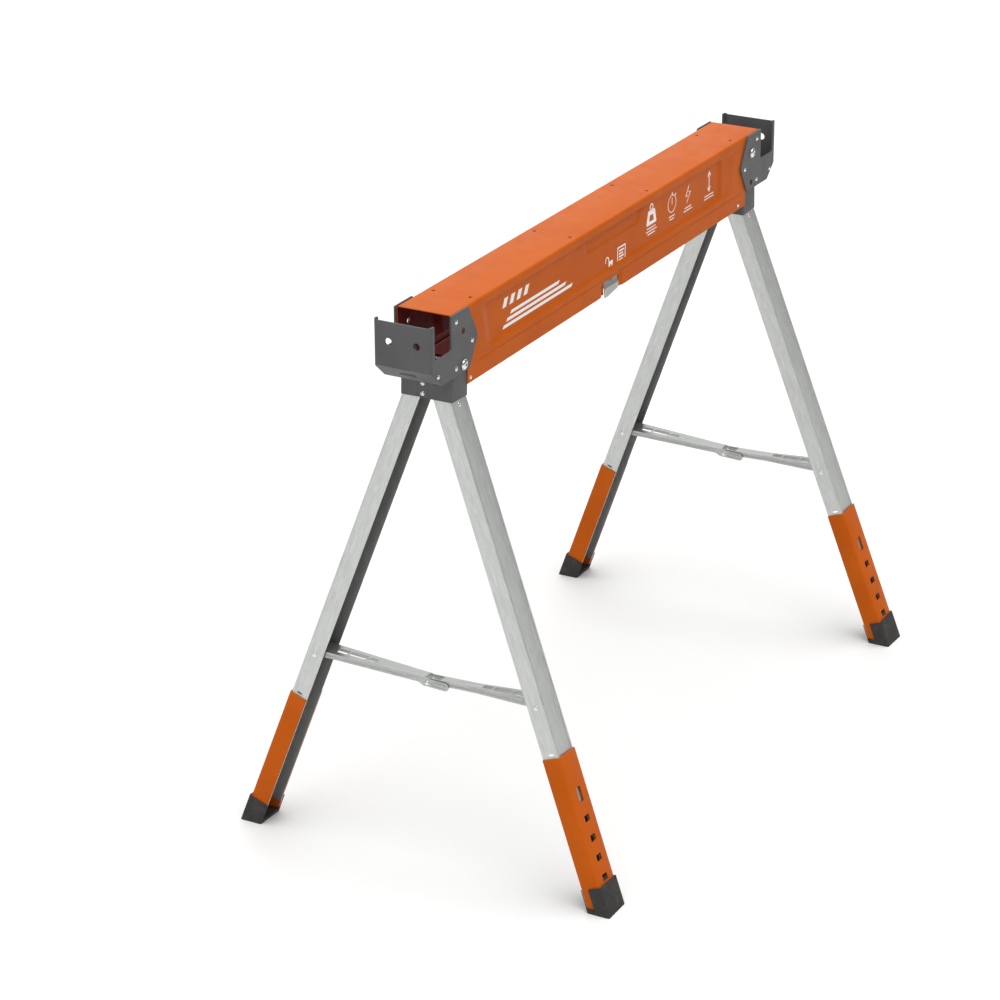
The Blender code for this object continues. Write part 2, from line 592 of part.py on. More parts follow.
def build_leg(pair, side, s):
    e, end = pair.e, pair.end
    name = "%s_%s" % (end, side)
    pin_z = pair.down_to(SPLAY_PIN_Z)
    frame = frame_at("splay_axis_" + name, pair.frame, (0, s * SPLAY_PIN_Y, pin_z), (s * SPLAY, 0, 0))
    fall = math.cos(LEAN) * math.cos(SPLAY)
    low, high = sorted((e * pair.leg_in, e * pair.leg_out))
    w = LEG_HALF_WIDTH
    web = s * w

    def down(height):
        """Distance below the pin along the leg's outer corner line to reach a world height."""
        rise = pair.leg_out * math.sin(LEAN) + w * math.sin(SPLAY) * math.cos(LEAN)
        base = pair.pivot_z + pin_z * math.cos(LEAN)
        return (base + rise - height) / fall

    section = channel_outline(low, high, -web, web, LEG_SHEET, LEG_RIB_WIDTH, LEG_RIB_STEP)
    leg_end = (SPLAY_PIN_Z - LEG_FLOOR_CLEARANCE) / fall
    leg = prism("leg_" + name, section, "XY", -leg_end, LEG_ABOVE_PIN, frame, "galvanised")
    span = (e * (pair.leg_in - OVERSHOOT), e * (pair.leg_out + OVERSHOOT))
    brace_down = (SPLAY_PIN_Z - BRACE_PIN_Z) / fall
    cuts = []
    for label, down_leg, radius in (("pin", 0.0, SPLAY_PIN_RADIUS), ("brace", brace_down, BRACE_PIN_RADIUS)):
        start, stop = (span[0], 0, -down_leg), (span[1], 0, -down_leg)
        cuts.append(rod("leg_%s_hole_%s" % (label, name), start, stop, radius + GAP, frame, sides=20))
    middle = e * pair.leg_mid
    tube_top = down(TUBE_TOP_Z)
    lock_at = tube_top + TUBE_HOLES_AT[-1]
    hole = (TUBE_HOLE_WIDTH / 2, TUBE_HOLE_HEIGHT / 2)
    lock_low = (middle - hole[0], 0, -lock_at - hole[1])
    lock_high = (middle + hole[0], s * (w + OVERSHOOT), -lock_at + hole[1])
    cuts.append(box("leg_lock_hole_" + name, lock_low, lock_high, frame))
    half_relief = LEG_RELIEF_WIDTH / 2
    relief_low = (middle - half_relief, 0, -tube_top - LEG_RELIEF_AT[1])
    relief_high = (middle + half_relief, s * (w + OVERSHOOT), -tube_top - LEG_RELIEF_AT[0])
    cuts.append(box("leg_relief_" + name, relief_low, relief_high, frame))
    rivet_at = down(LEG_RIVET_Z)
    start, stop = (middle, 0, -rivet_at), (middle, s * (w + OVERSHOOT), -rivet_at)
    cuts.append(rod("leg_rivet_hole_" + name, start, stop, RIVET_SHANK + GAP, frame, sides=16))
    boolean(leg, cuts)
    build_leg_rivet(name, frame, middle, s, rivet_at)
    build_brace_pin(pair, name, frame, brace_down)
    build_foot_tube(pair, name, frame, s, tube_top)
    build_lock(name, frame, middle, s, lock_at)
    return frame, brace_down


def build_leg_rivet(name, frame, middle, s, rivet_at):
    face = LEG_HALF_WIDTH - LEG_RIB_STEP
    root, neck_end = (middle, s * (face - LEG_SHEET), -rivet_at), (middle, s * (face + GAP), -rivet_at)
    rivet = rod("leg_rivet_" + name, root, neck_end, RIVET_SHANK, frame, "zinc", 16)
    seat = (middle, s * (face + RIVET_SEAT), -rivet_at)
    tip = (middle, s * (face + RIVET_HEAD_HEIGHT), -rivet_at)
    crown = rod("leg_rivet_crown_" + name, seat, tip, LEG_RIVET_HEAD, frame, sides=16)
    boolean(rivet, [crown], "UNION")


def build_brace_pin(pair, name, frame, brace_down):
    e = pair.e
    seats = (e * (pair.leg_in - GAP), e * (pair.leg_out + GAP))
    ends = (seats[0] - e * BRACE_PIN_FLARE_HEIGHT, seats[1] + e * BRACE_PIN_FLARE_HEIGHT)
    start, stop = (ends[0], 0, -brace_down), (ends[1], 0, -brace_down)
    pin = rod("brace_pin_" + name, start, stop, BRACE_PIN_RADIUS, frame, "zinc", 20)
    flares = []
    for number, (tip, seat) in enumerate(zip(ends, seats)):
        start, stop = (tip, 0, -brace_down), (seat, 0, -brace_down)
        label = "brace_pin_flare_%s_%d" % (name, number)
        flares.append(rod(label, start, stop, BRACE_PIN_FLARE, frame, sides=20))
    boolean(pin, flares, "UNION")


def below_height(name, height):
    """A world-aligned block that takes away all that lies under a height."""
    reach = 2 * PLATE_X
    return box(name, (-reach, -reach, height - reach), (reach, reach, height))


def build_foot_tube(pair, name, frame, s, tube_top):
    e = pair.e
    spread = GAP + FOOT_TUBE_SHEET
    low, high = sorted((e * pair.leg_in, e * pair.leg_out))
    web = s * (LEG_HALF_WIDTH + spread)
    section = channel_outline(low - spread, high + spread, -s * LEG_HALF_WIDTH, web, FOOT_TUBE_SHEET)
    deep = tube_top + TUBE_TOP_Z / math.cos(SPLAY) + OVERSHOOT
    tube = prism("foot_tube_" + name, section, "XY", -deep, -tube_top, frame, "orange_paint")
    cuts = [below_height("foot_tube_floor_" + name, TUBE_BOTTOM_Z)]
    middle = (low + high) / 2
    sizes = [(TUBE_SLOT_AT, TUBE_SLOT_WIDTH, TUBE_SLOT_LENGTH)]
    sizes += [(at, TUBE_HOLE_WIDTH, TUBE_HOLE_HEIGHT) for at in TUBE_HOLES_AT]
    for number, (at, wide, tall) in enumerate(sizes):
        corner_a = (middle - wide / 2, 0, -tube_top - at - tall / 2)
        corner_b = (middle + wide / 2, s * (LEG_HALF_WIDTH + OVERSHOOT), -tube_top - at + tall / 2)
        cuts.append(box("foot_tube_hole_%s_%d" % (name, number), corner_a, corner_b, frame))
    boolean(tube, cuts)
    build_foot(pair, name, frame, s, deep)


def build_foot(pair, name, frame, s, deep):
    e = pair.e
    spread = GAP + FOOT_TUBE_SHEET + GAP
    low, high = sorted((e * pair.leg_in, e * pair.leg_out))
    outer_low, outer_high = low - spread - FOOT_WALL_X, high + spread + FOOT_WALL_X
    pocket_web = LEG_HALF_WIDTH + spread
    outer_web = pocket_web + FOOT_WALL_Y
    fall = math.cos(LEAN) * math.cos(SPLAY)
    top = (SPLAY_PIN_Z + outer_web * math.sin(SPLAY)) / fall - FOOT_HEIGHT
    corner_a, corner_b = (outer_low, -s * FOOT_INNER_Y, -deep), (outer_high, s * outer_web, -top)
    foot = box("rubber_foot_" + name, corner_a, corner_b, frame, "rubber")
    corner_a = (low - spread, -s * (LEG_HALF_WIDTH + GAP), -deep - OVERSHOOT)
    corner_b = (high + spread, s * pocket_web, OVERSHOOT - top)
    pocket = box("foot_pocket_" + name, corner_a, corner_b, frame)
    boolean(pocket, [below_height("foot_pocket_floor_" + name, FOOT_SOLE)])
    open_x = outer_low if s < 0 else outer_high
    turn = 1 if s < 0 else -1
    slit = box(
        "foot_side_opening_" + name,
        (open_x - turn * OVERSHOOT, -s * (FOOT_INNER_Y + OVERSHOOT), -deep - OVERSHOOT),
        (open_x + turn * (FOOT_WALL_X + GAP), -s * FOOT_OPENING_Y, OVERSHOOT - top),
        frame,
    )
    boolean(slit, [below_height("foot_side_floor_" + name, FOOT_SOLE + GAP)])
    corner_a = (low - spread + GAP, -s * (FOOT_INNER_Y + OVERSHOOT), -deep - OVERSHOOT)
    corner_b = (high + spread - GAP, -s * GAP, OVERSHOOT - GAP - top)
    mouth = box("foot_inner_opening_" + name, corner_a, corner_b, frame)
    boolean(mouth, [below_height("foot_inner_floor_" + name, FOOT_SOLE + 2 * GAP)])
    boolean(foot, [below_height("foot_floor_" + name, 0.0), pocket, slit, mouth])


def build_lock(name, frame, middle, s, lock_at):
    """Leaf spring on the leg's inside with a formed button that stands in the foot tube's hole."""
    face = LEG_HALF_WIDTH - LEG_RIB_STEP - LEG_SHEET - GAP
    half = LOCK_STRIP_WIDTH / 2
    button = (TUBE_HOLE_WIDTH / 2 - GAP, TUBE_HOLE_HEIGHT / 2 - GAP)
    low = (middle - half, s * (face - LOCK_STRIP_THICKNESS), -lock_at - LOCK_STRIP_BELOW)
    high = (middle + half, s * face, -lock_at + LOCK_STRIP_LENGTH - LOCK_STRIP_BELOW)
    strip = box("lock_spring_" + name, low, high, frame, "spring_steel")
    tip = LEG_HALF_WIDTH + FOOT_TUBE_SHEET
    nose_low = (middle - button[0], s * (face - LOCK_STRIP_THICKNESS / 2), -lock_at - button[1])
    nose_high = (middle + button[0], s * tip, -lock_at + button[1])
    nose = box("lock_button_" + name, nose_low, nose_high, frame)
    boolean(strip, [nose], "UNION")


# ---------------------------------------------------------------- brace links
def build_link(pair, side, s):
    """Half of the folding brace. The left link is a fork that straddles the right link's narrow blade."""
    name = "%s_%s" % (pair.end, side)
    fork = side == "left"
    fall = math.cos(SPLAY)
    pin_down = (SPLAY_PIN_Z - BRACE_PIN_Z) / (math.cos(LEAN) * fall)
    pin_z = pair.down_to(SPLAY_PIN_Z) - pin_down * math.cos(SPLAY)
    pin_y = SPLAY_PIN_Y + pin_down * math.sin(SPLAY)
    location = (pair.e * pair.leg_mid, s * pin_y, pin_z)
    frame = frame_at("brace_axis_" + name, pair.frame, location, (s * LINK_TILT, 0, 0))
    way = -s
    flange_low = LINK_TOP - LINK_FLANGE
    lobe_back, lobe_front, lobe_half = LOBE
    side_view = [(LINK_EAR_NECK, flange_low)]
    tip = LINK_LENGTH
    if fork:
        side_view += [(tip - lobe_back - lobe_half, flange_low)]
        side_view += [(tip - lobe_back + LOBE_NECK, LOBE_UP - lobe_half)]
        side_view += arc((tip + lobe_front - lobe_half, LOBE_UP), lobe_half, -90, 90, 8)
        side_view += [(tip - LOBE_TOP_BACK, LOBE_UP + lobe_half)]
    else:
        side_view += [(tip - BLADE_FLANGE_BACK, flange_low)]
        side_view += arc((tip, 0), BLADE_TIP_RADIUS, -110, 70, 8)
    side_view += [(tip - LINK_TOP_BACK, LINK_TOP), (-EAR_TOP_BACK, LINK_TOP)]
    side_view += arc((0, 0), LINK_EAR_RADIUS, 115, 325, 12)
    side_view = [(way * along, up) for along, up in side_view]
    wide = LINK_HALF_WIDTH + OVERSHOOT
    link = prism("brace_link_" + name, side_view, "YZ", -wide, wide, frame, "galvanised")

    def plan(inset):
        narrow = (FORK_HALF_WIDTH if fork else BLADE_HALF_WIDTH) - inset
        broad = LINK_HALF_WIDTH - inset
        shoulder = tip - (FORK_NARROW_BEFORE if fork else LINK_CROSSING)
        half = [(broad, -way * OVERSHOOT), (broad, way * LINK_BROAD_TO)]
        half += [(narrow, way * shoulder), (narrow, way * (tip + PAST_TIP))]
        return mirrored(half)

    outer = prism("link_plan_" + name, plan(0.0), "XY", -LINK_DEEP, LINK_DEEP, frame)
    boolean(link, [outer], "INTERSECT")
    inner = prism("link_hollow_" + name, plan(LINK_SHEET), "XY", -LINK_DEEP, LINK_TOP - LINK_SHEET, frame)
    cuts = [inner]
    open_from = tip - (LINK_CROSSING if fork else BLADE_NOTCH)
    open_half = (FORK_HALF_WIDTH if fork else BLADE_HALF_WIDTH) - LINK_SHEET + GAP / 3
    mouth_low = (-open_half, way * open_from, -LINK_DEEP)
    mouth_high = (open_half, way * (tip + PAST_TIP), LINK_DEEP)
    cuts.append(box("link_mouth_" + name, mouth_low, mouth_high, frame))
    if fork:
        spare_low = (0, way * (tip + FORK_SHORT_FLANGE), -LINK_DEEP)
        spare_high = (wide, way * (tip + PAST_TIP), LINK_DEEP)
        cuts.append(box("link_short_flange_" + name, spare_low, spare_high, frame))
    for number, (start, stop) in enumerate(LINK_SLOTS):
        half = LINK_SLOT_WIDTHS[number] / 2
        slot_low, slot_high = (-half, way * start, LINK_SHEET), (half, way * stop, LINK_DEEP)
        cuts.append(box("link_slot_%s_%d" % (name, number), slot_low, slot_high, frame))
    start, stop = (-wide, 0, 0), (wide, 0, 0)
    cuts.append(rod("link_pin_hole_" + name, start, stop, BRACE_PIN_RADIUS + GAP, frame, sides=20))
    start, stop = (-wide, way * tip, 0), (wide, way * tip, 0)
    cuts.append(rod("link_knuckle_hole_" + name, start, stop, KNUCKLE_SHANK + GAP, frame, sides=16))
    boolean(link, cuts)
    if fork:
        build_knuckle_rivets(pair.end, frame, way * tip)


def build_knuckle_rivets(end, frame, along):
    """One rivet in each side of the fork; the open pivot's shanks stop short of the blade."""
    for label, turn in (("outer", -1), ("inner", 1)):
        inside = turn * (FORK_HALF_WIDTH - LINK_SHEET)
        face = turn * (FORK_HALF_WIDTH + GAP / 3)
        start, stop = (inside, along, 0), (face + turn * GAP, along, 0)
        rivet = rod("knuckle_rivet_%s_%s" % (end, label), start, stop, KNUCKLE_SHANK, frame, "zinc", 16)
        start, stop = (face, along, 0), (face + turn * KNUCKLE_HEAD_HEIGHT, along, 0)
        crown = rod("knuckle_rivet_crown_%s_%s" % (end, label), start, stop, KNUCKLE_HEAD, frame, sides=16)
        boolean(rivet, [crown], "UNION")


# ---------------------------------------------------------------- latch
def build_latch():
    frame = frame_at("latch_axis", None, ((LATCH_X[0] + LATCH_X[1]) / 2, LATCH_PIN_Y, LATCH_PIN_Z))
    half = (LATCH_X[1] - LATCH_X[0]) / 2
    face = LATCH_INSET - BEAM_HALF_WIDTH - LATCH_PIN_Y
    bottom = LATCH_BOTTOM - LATCH_PIN_Z
    shelf = LATCH_NOTCH_TOP - LATCH_SHELF_DROP - LATCH_PIN_Z
    shelf_top = shelf + LATCH_SHELF
    front = [(-half, bottom), (half - LATCH_CORNER, bottom), (half, bottom + LATCH_CORNER)]
    front += [(half, shelf_top), (-half, shelf_top)]
    latch = prism("latch_plate", front, "XZ", face, face + LATCH_SHEET, frame, "galvanised")
    back = GAP - LATCH_PIN_RADIUS - RIVET_SEAT
    parts = [
        box("latch_shelf", (-half, face, shelf), (half, back, shelf_top), frame),
        box("latch_riser", (-half, back - LATCH_SHELF, shelf), (half, back, 0.0), frame),
        rod("latch_collar", (-half, 0, 0), (half, 0, 0), LATCH_COLLAR_RADIUS, frame, sides=20),
    ]
    boolean(latch, parts, "UNION")
    spring_x = [x - (LATCH_X[0] + LATCH_X[1]) / 2 for x in LATCH_SPRING_X]
    window_low = (spring_x[0] - GAP, -LATCH_WINDOW_REACH, shelf_top + GAP + RIVET_SEAT)
    window_high = (spring_x[1] + GAP, LATCH_WINDOW_REACH, LATCH_WINDOW_REACH)
    start, stop = (-half - OVERSHOOT, 0, 0), (half + OVERSHOOT, 0, 0)
    cuts = [
        box("latch_window", window_low, window_high, frame),
        rod("latch_bore", start, stop, LATCH_PIN_RADIUS + GAP, frame, sides=20),
    ]
    boolean(latch, cuts)
    reach = half + LATCH_LUG_CLEARANCE + LATCH_LUG
    rod("latch_pin", (-reach, 0, 0), (reach, 0, 0), LATCH_PIN_RADIUS, frame, "zinc", 20)
    start, stop = (spring_x[0], 0, 0), (spring_x[1], 0, 0)
    spring = rod("latch_spring", start, stop, LATCH_SPRING_RADIUS, frame, "spring_steel", 20)
    bore = rod("latch_spring_bore", (-half, 0, 0), (half, 0, 0), LATCH_PIN_RADIUS + GAP, frame, sides=20)
    boolean(spring, [bore])


build_beam()
build_latch()
for end_name, end_sign in ENDS.items():
    build_bracket(end_name, end_sign)
    leg_pair = Pair(end_name, end_sign)
    build_bolt(end_name, leg_pair.frame)
    build_head(leg_pair)
    for side_name, side_sign in SIDES.items():
        build_leg(leg_pair, side_name, side_sign)
        build_link(leg_pair, side_name, side_sign)
bpy.context.view_layer.update()
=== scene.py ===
import json
import math

import bmesh
import bpy
from mathutils import Matrix, Vector


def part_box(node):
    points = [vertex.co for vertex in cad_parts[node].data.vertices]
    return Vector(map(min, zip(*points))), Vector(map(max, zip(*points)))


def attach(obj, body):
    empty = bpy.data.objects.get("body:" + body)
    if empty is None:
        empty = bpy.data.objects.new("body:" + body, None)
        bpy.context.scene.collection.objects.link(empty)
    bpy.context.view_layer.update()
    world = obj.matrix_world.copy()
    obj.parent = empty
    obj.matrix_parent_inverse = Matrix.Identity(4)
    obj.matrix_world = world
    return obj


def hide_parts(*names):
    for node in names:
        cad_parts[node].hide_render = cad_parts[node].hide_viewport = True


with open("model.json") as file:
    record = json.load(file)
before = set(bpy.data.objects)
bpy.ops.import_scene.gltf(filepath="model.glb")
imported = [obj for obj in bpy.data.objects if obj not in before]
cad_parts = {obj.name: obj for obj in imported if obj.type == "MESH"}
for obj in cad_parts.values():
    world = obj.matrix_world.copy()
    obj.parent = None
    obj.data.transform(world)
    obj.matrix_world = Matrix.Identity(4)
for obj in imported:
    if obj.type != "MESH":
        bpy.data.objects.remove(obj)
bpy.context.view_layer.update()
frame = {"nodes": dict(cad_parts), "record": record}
JOINTS = {joint["name"]: joint for joint in frame["record"]["behaviour"]["joints"]}
ENDS = {"near": -1, "far": 1}
SIDES = {"left": 1, "right": -1}

# ---- camera: where it stands and how it looks, in metres and degrees
CAMERA_AT = (-3.7648, -1.9549, 2.1518)
CAMERA_AZIMUTH = -60.8855
CAMERA_ELEVATION = 23.0904
CAMERA_ROLL = -0.3188
CAMERA_LENS_MM = 120.28

# ---- sheet metal and clearances, in metres
GAP = 0.0003
BEAM_SHEET = 0.0012
BRACKET_SHEET = 0.0022
HEAD_SHEET = 0.0012
LEG_SHEET = 0.0012
LINK_SHEET = 0.0012
BEYOND = 0.02


# ================================================================ shapes
def arc(centre, radius, start, stop, steps=6):
    """Points of a circular arc, with the angles in degrees."""
    turn = [math.radians(start + (stop - start) * i / steps) for i in range(steps + 1)]
    return [(centre[0] + radius * math.cos(a), centre[1] + radius * math.sin(a)) for a in turn]


def rounded(corners, radii, steps=5):
    """A polygon whose corners are rounded, each by its own radius."""
    points = []
    count = len(corners)
    for i, (x, y) in enumerate(corners):
        here = Vector((x, y))
        before = (Vector(corners[i - 1]) - here).normalized()
        after = (Vector(corners[(i + 1) % count]) - here).normalized()
        radius = radii[i] if isinstance(radii, (list, tuple)) else radii
        if radius <= 0:
            points.append((x, y))
            continue
        half = math.acos(max(-1.0, min(1.0, before.dot(after)))) / 2
        reach = radius / math.tan(half)
        start, stop = here + before * reach, here + after * reach
        centre = here + (before + after).normalized() * (radius / math.sin(half))
        a = math.atan2(start.y - centre.y, start.x - centre.x)
        b = math.atan2(stop.y - centre.y, stop.x - centre.x)
        sweep = (b - a + math.pi) % (2 * math.pi) - math.pi
        for k in range(steps + 1):
            angle = a + sweep * k / steps
            points.append((centre.x + radius * math.cos(angle), centre.y + radius * math.sin(angle)))
    return points


def rectangle(x, y, wide, tall, radius):
    """Outline of an upright rectangle with rounded corners."""
    corners = [(x - wide / 2, y - tall / 2), (x + wide / 2, y - tall / 2)]
    corners += [(x + wide / 2, y + tall / 2), (x - wide / 2, y + tall / 2)]
    return rounded(corners, radius, 5)


def four_corners(x0, z0, x1, z1):
    """An upright rectangle from its lower left corner, anticlockwise."""
    return [(x0, z0), (x1, z0), (x1, z1), (x0, z1)]


def hexagon(x, z, radius):
    angles = [math.radians(60 * k) for k in range(6)]
    return [(x + radius * math.cos(a), z + radius * math.sin(a)) for a in angles]


def shape_object(name, shape):
    mesh = bpy.data.meshes.new(name)
    shape.to_mesh(mesh)
    shape.free()
    item = bpy.data.objects.new(name, mesh)
    bpy.context.scene.collection.objects.link(item)
    return item


def block(corner_a, corner_b, name="block"):
    low = Vector([min(a, b) for a, b in zip(corner_a, corner_b)])
    high = Vector([max(a, b) for a, b in zip(corner_a, corner_b)])
    size = high - low
    shape = bmesh.new()
    place = Matrix.Translation((low + high) / 2) @ Matrix.Diagonal((size.x, size.y, size.z, 1.0))
    bmesh.ops.create_cube(shape, size=1.0, matrix=place)
    return shape_object(name, shape)


def rod(start, stop, radius, sides=32, end_radius=None, name="rod"):
    start = Vector(start)
    span = Vector(stop) - start
    turn = span.to_track_quat("Z", "Y").to_matrix().to_4x4()
    shape = bmesh.new()
    bmesh.ops.create_cone(
        shape,
        cap_ends=True,
        segments=sides,
        radius1=radius,
        radius2=radius if end_radius is None else end_radius,
        depth=span.length,
        matrix=Matrix.Translation(start + span / 2) @ turn,
    )
    return shape_object(name, shape)


PLANES = {
    "XY": (Matrix(((1, 0, 0), (0, 1, 0), (0, 0, 1))), 2),
    "XZ": (Matrix(((1, 0, 0), (0, 0, -1), (0, 1, 0))), 1),
    "YZ": (Matrix(((0, 0, 1), (1, 0, 0), (0, 1, 0))), 0),
}


def slab(outline, plane, low, high, name="slab", holes=()):
    """A flat outline, with any holes, extruded from low to high along its plane's normal."""
    curve = bpy.data.curves.new(name, "CURVE")
    curve.dimensions = "2D"
    curve.fill_mode = "BOTH"
    curve.extrude = abs(high - low) / 2
    for loop in [outline, *holes]:
        spline = curve.splines.new("POLY")
        spline.points.add(len(loop) - 1)
        for point, (across, up) in zip(spline.points, loop):
            point.co = (across, up, 0.0, 1.0)
        spline.use_cyclic_u = True
    drawn = bpy.data.objects.new(name, curve)
    bpy.context.scene.collection.objects.link(drawn)
    mesh = bpy.data.meshes.new_from_object(drawn.evaluated_get(bpy.context.evaluated_depsgraph_get()))
    bpy.data.objects.remove(drawn, do_unlink=True)
    shape = bmesh.new()
    shape.from_mesh(mesh)
    bpy.data.meshes.remove(mesh)
    bmesh.ops.remove_doubles(shape, verts=shape.verts, dist=1e-6)
    turn, axis = PLANES[plane]
    offset = Vector((0, 0, 0))
    offset[axis] = (low + high) / 2
    shape.transform(Matrix.Translation(offset) @ turn.to_4x4())
    bmesh.ops.recalc_face_normals(shape, faces=shape.faces)
    if shape.calc_volume(signed=True) < 0:
        bmesh.ops.reverse_faces(shape, faces=shape.faces)
    return shape_object(name, shape)


def dome(centre, outward, radius, height, dimple=0.0, rings=7, sides=28, name="dome"):
    """A turned rivet or bolt head: a rounded cap on a short cylinder, dimpled in its crown if wanted."""
    profile = [(radius * 0.98, -height * 0.9), (radius, -height * 0.5), (radius, 0.0)]
    for k in range(1, rings):
        angle = math.pi / 2 * k / rings
        profile.append((radius * math.cos(angle), height * math.sin(angle)))
    if dimple > 0:
        rim = radius * 0.42
        profile = [point for point in profile if point[0] > rim]
        crown = height * 0.93
        profile += [(rim, crown), (rim * 0.8, crown - dimple * 0.8), (rim * 0.4, crown - dimple)]
    shape = bmesh.new()
    loops = []
    for out, up in profile:
        ring = []
        for k in range(sides):
            angle = 2 * math.pi * k / sides
            ring.append(shape.verts.new((out * math.cos(angle), out * math.sin(angle), up)))
        loops.append(ring)
    for lower, upper in zip(loops, loops[1:]):
        for k in range(sides):
            shape.faces.new((lower[k], lower[(k + 1) % sides], upper[(k + 1) % sides], upper[k]))
    tip = shape.verts.new((0, 0, profile[-1][1]))
    base = shape.verts.new((0, 0, profile[0][1]))
    for k in range(sides):
        shape.faces.new((loops[-1][k], loops[-1][(k + 1) % sides], tip))
        shape.faces.new((loops[0][(k + 1) % sides], loops[0][k], base))
    turn = Vector(outward).to_track_quat("Z", "Y").to_matrix().to_4x4()
    shape.transform(Matrix.Translation(Vector(centre)) @ turn)
    bmesh.ops.recalc_face_normals(shape, faces=shape.faces)
    return shape_object(name, shape)


def carve(target, tools, operation="DIFFERENCE"):
    """Applies Booleans to a shape and removes the tools."""
    for tool in tools:
        modifier = target.modifiers.new("carve", "BOOLEAN")
        modifier.operation = operation
        modifier.object = tool
    depsgraph = bpy.context.evaluated_depsgraph_get()
    mesh = bpy.data.meshes.new_from_object(target.evaluated_get(depsgraph))
    old = target.data
    target.modifiers.clear()
    target.data = mesh
    bpy.data.meshes.remove(old)
    for tool in tools:
        bpy.data.objects.remove(tool, do_unlink=True)
    return target


def joined(items, name="joined"):
    """Several shapes as one mesh, without a Boolean."""
    shape = bmesh.new()
    for item in items:
        shape.from_mesh(item.data)
        bpy.data.objects.remove(item, do_unlink=True)
    return shape_object(name, shape)


def piece(item, name, material, body, place=None, edge=0.0, stands_for=(), smooth=32):
    """Names a finished shape, gives it its material, puts it in place and lets it ride on its body."""
    item.name = name
    item.data.name = name
    if len(item.data.materials) < 2:
        item.data.materials.clear()
        item.data.materials.append(MATERIALS[material])
    item.data.shade_smooth()
    item.data.set_sharp_from_angle(angle=math.radians(smooth))
    if edge:
        bevel = item.modifiers.new("edge", "BEVEL")
        bevel.width = edge
        bevel.segments = 2
        bevel.limit_method = "ANGLE"
        bevel.angle_limit = math.radians(40)
        bevel.harden_normals = True
        bevel.use_clamp_overlap = True
    if place is not None and material in ("orange", "rubber"):
        item.data.transform(place)
    elif place is not None:
        item.matrix_world = place
    bpy.context.view_layer.update()
    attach(item, body)
    if stands_for:
        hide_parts(*stands_for)
    return item


class Nodes:
    """Short calls for building a node material."""

    def __init__(self, name, colour, roughness, metallic):
        self.material = bpy.data.materials.new(name)
        self.material.use_nodes = True
        self.tree = self.material.node_tree
        self.shader = self.tree.nodes["Principled BSDF"]
        self.shader.inputs["Base Color"].default_value = (*colour, 1.0)
        self.shader.inputs["Roughness"].default_value = roughness
        self.shader.inputs["Metallic"].default_value = metallic
        self.coordinates = self.tree.nodes.new("ShaderNodeTexCoord").outputs["Object"]

    def link(self, output, target):
        self.tree.links.new(output, target)

    def stretched(self, scale):
        mapping = self.tree.nodes.new("ShaderNodeMapping")
        mapping.inputs["Scale"].default_value = scale
        self.link(self.coordinates, mapping.inputs["Vector"])
        return mapping.outputs["Vector"]

    def noise(self, scale, detail=3.0, roughness=0.5, stretch=None):
        node = self.tree.nodes.new("ShaderNodeTexNoise")
        node.inputs["Scale"].default_value = scale
        node.inputs["Detail"].default_value = detail
        node.inputs["Roughness"].default_value = roughness
        self.link(self.stretched(stretch) if stretch else self.coordinates, node.inputs["Vector"])
        return node.outputs["Fac"]

    def cells(self, scale, stretch=None):
        node = self.tree.nodes.new("ShaderNodeTexVoronoi")
        node.inputs["Scale"].default_value = scale
        self.link(self.stretched(stretch) if stretch else self.coordinates, node.inputs["Vector"])
        grey = self.tree.nodes.new("ShaderNodeRGBToBW")
        self.link(node.outputs["Color"], grey.inputs["Color"])
        return grey.outputs["Val"]

    def ranged(self, value, low, high, new_low, new_high):
        node = self.tree.nodes.new("ShaderNodeMapRange")
        node.inputs["From Min"].default_value = low
        node.inputs["From Max"].default_value = high
        node.inputs["To Min"].default_value = new_low
        node.inputs["To Max"].default_value = new_high
        self.link(value, node.inputs["Value"])
        return node.outputs["Result"]

    def mixed(self, factor, colour_a, colour_b):
        node = self.tree.nodes.new("ShaderNodeMix")
        node.data_type = "RGBA"
        self.link(factor, node.inputs["Factor"])
        for socket, colour in ((node.inputs[6], colour_a), (node.inputs[7], colour_b)):
            if isinstance(colour, tuple):
                socket.default_value = (*colour, 1.0)
            else:
                self.link(colour, socket)
        return node.outputs[2]

    def added(self, value_a, value_b):
        node = self.tree.nodes.new("ShaderNodeMath")
        node.operation = "ADD"
        self.link(value_a, node.inputs[0])
        self.link(value_b, node.inputs[1])
        return node.outputs["Value"]

    def bump(self, height, strength, distance, below=None):
        node = self.tree.nodes.new("ShaderNodeBump")
        node.inputs["Strength"].default_value = strength
        node.inputs["Distance"].default_value = distance
        self.link(height, node.inputs["Height"])
        if below is not None:
            self.link(below, node.inputs["Normal"])
        return node.outputs["Normal"]

    def set(self, socket, output):
        self.link(output, self.shader.inputs[socket])


def powder_coat(name, colour, deep, roughness, speck, sheen):
    """Sprayed and baked paint: orange-peel surface, soft cloudy colour and a few fine specks of dust."""
    m = Nodes(name, colour, roughness, 0.0)
    cloud = m.ranged(m.noise(14.0, 4.0), 0.35, 0.65, 0.0, 1.0)
    base = m.mixed(cloud, deep, colour)
    dust = m.ranged(m.noise(2600.0, 1.0), 0.70, 0.78, 0.0, 0.35)
    m.set("Base Color", m.mixed(dust, base, speck))
    m.set("Roughness", m.ranged(m.noise(45.0, 5.0), 0.3, 0.7, roughness - 0.05, roughness + 0.07))
    peel = m.bump(m.noise(900.0, 2.0), 0.22, 0.0004)
    m.set("Normal", m.bump(m.noise(60.0, 2.0), 0.05, 0.002, peel))
    m.shader.inputs["Specular IOR Level"].default_value = sheen
    return m.material


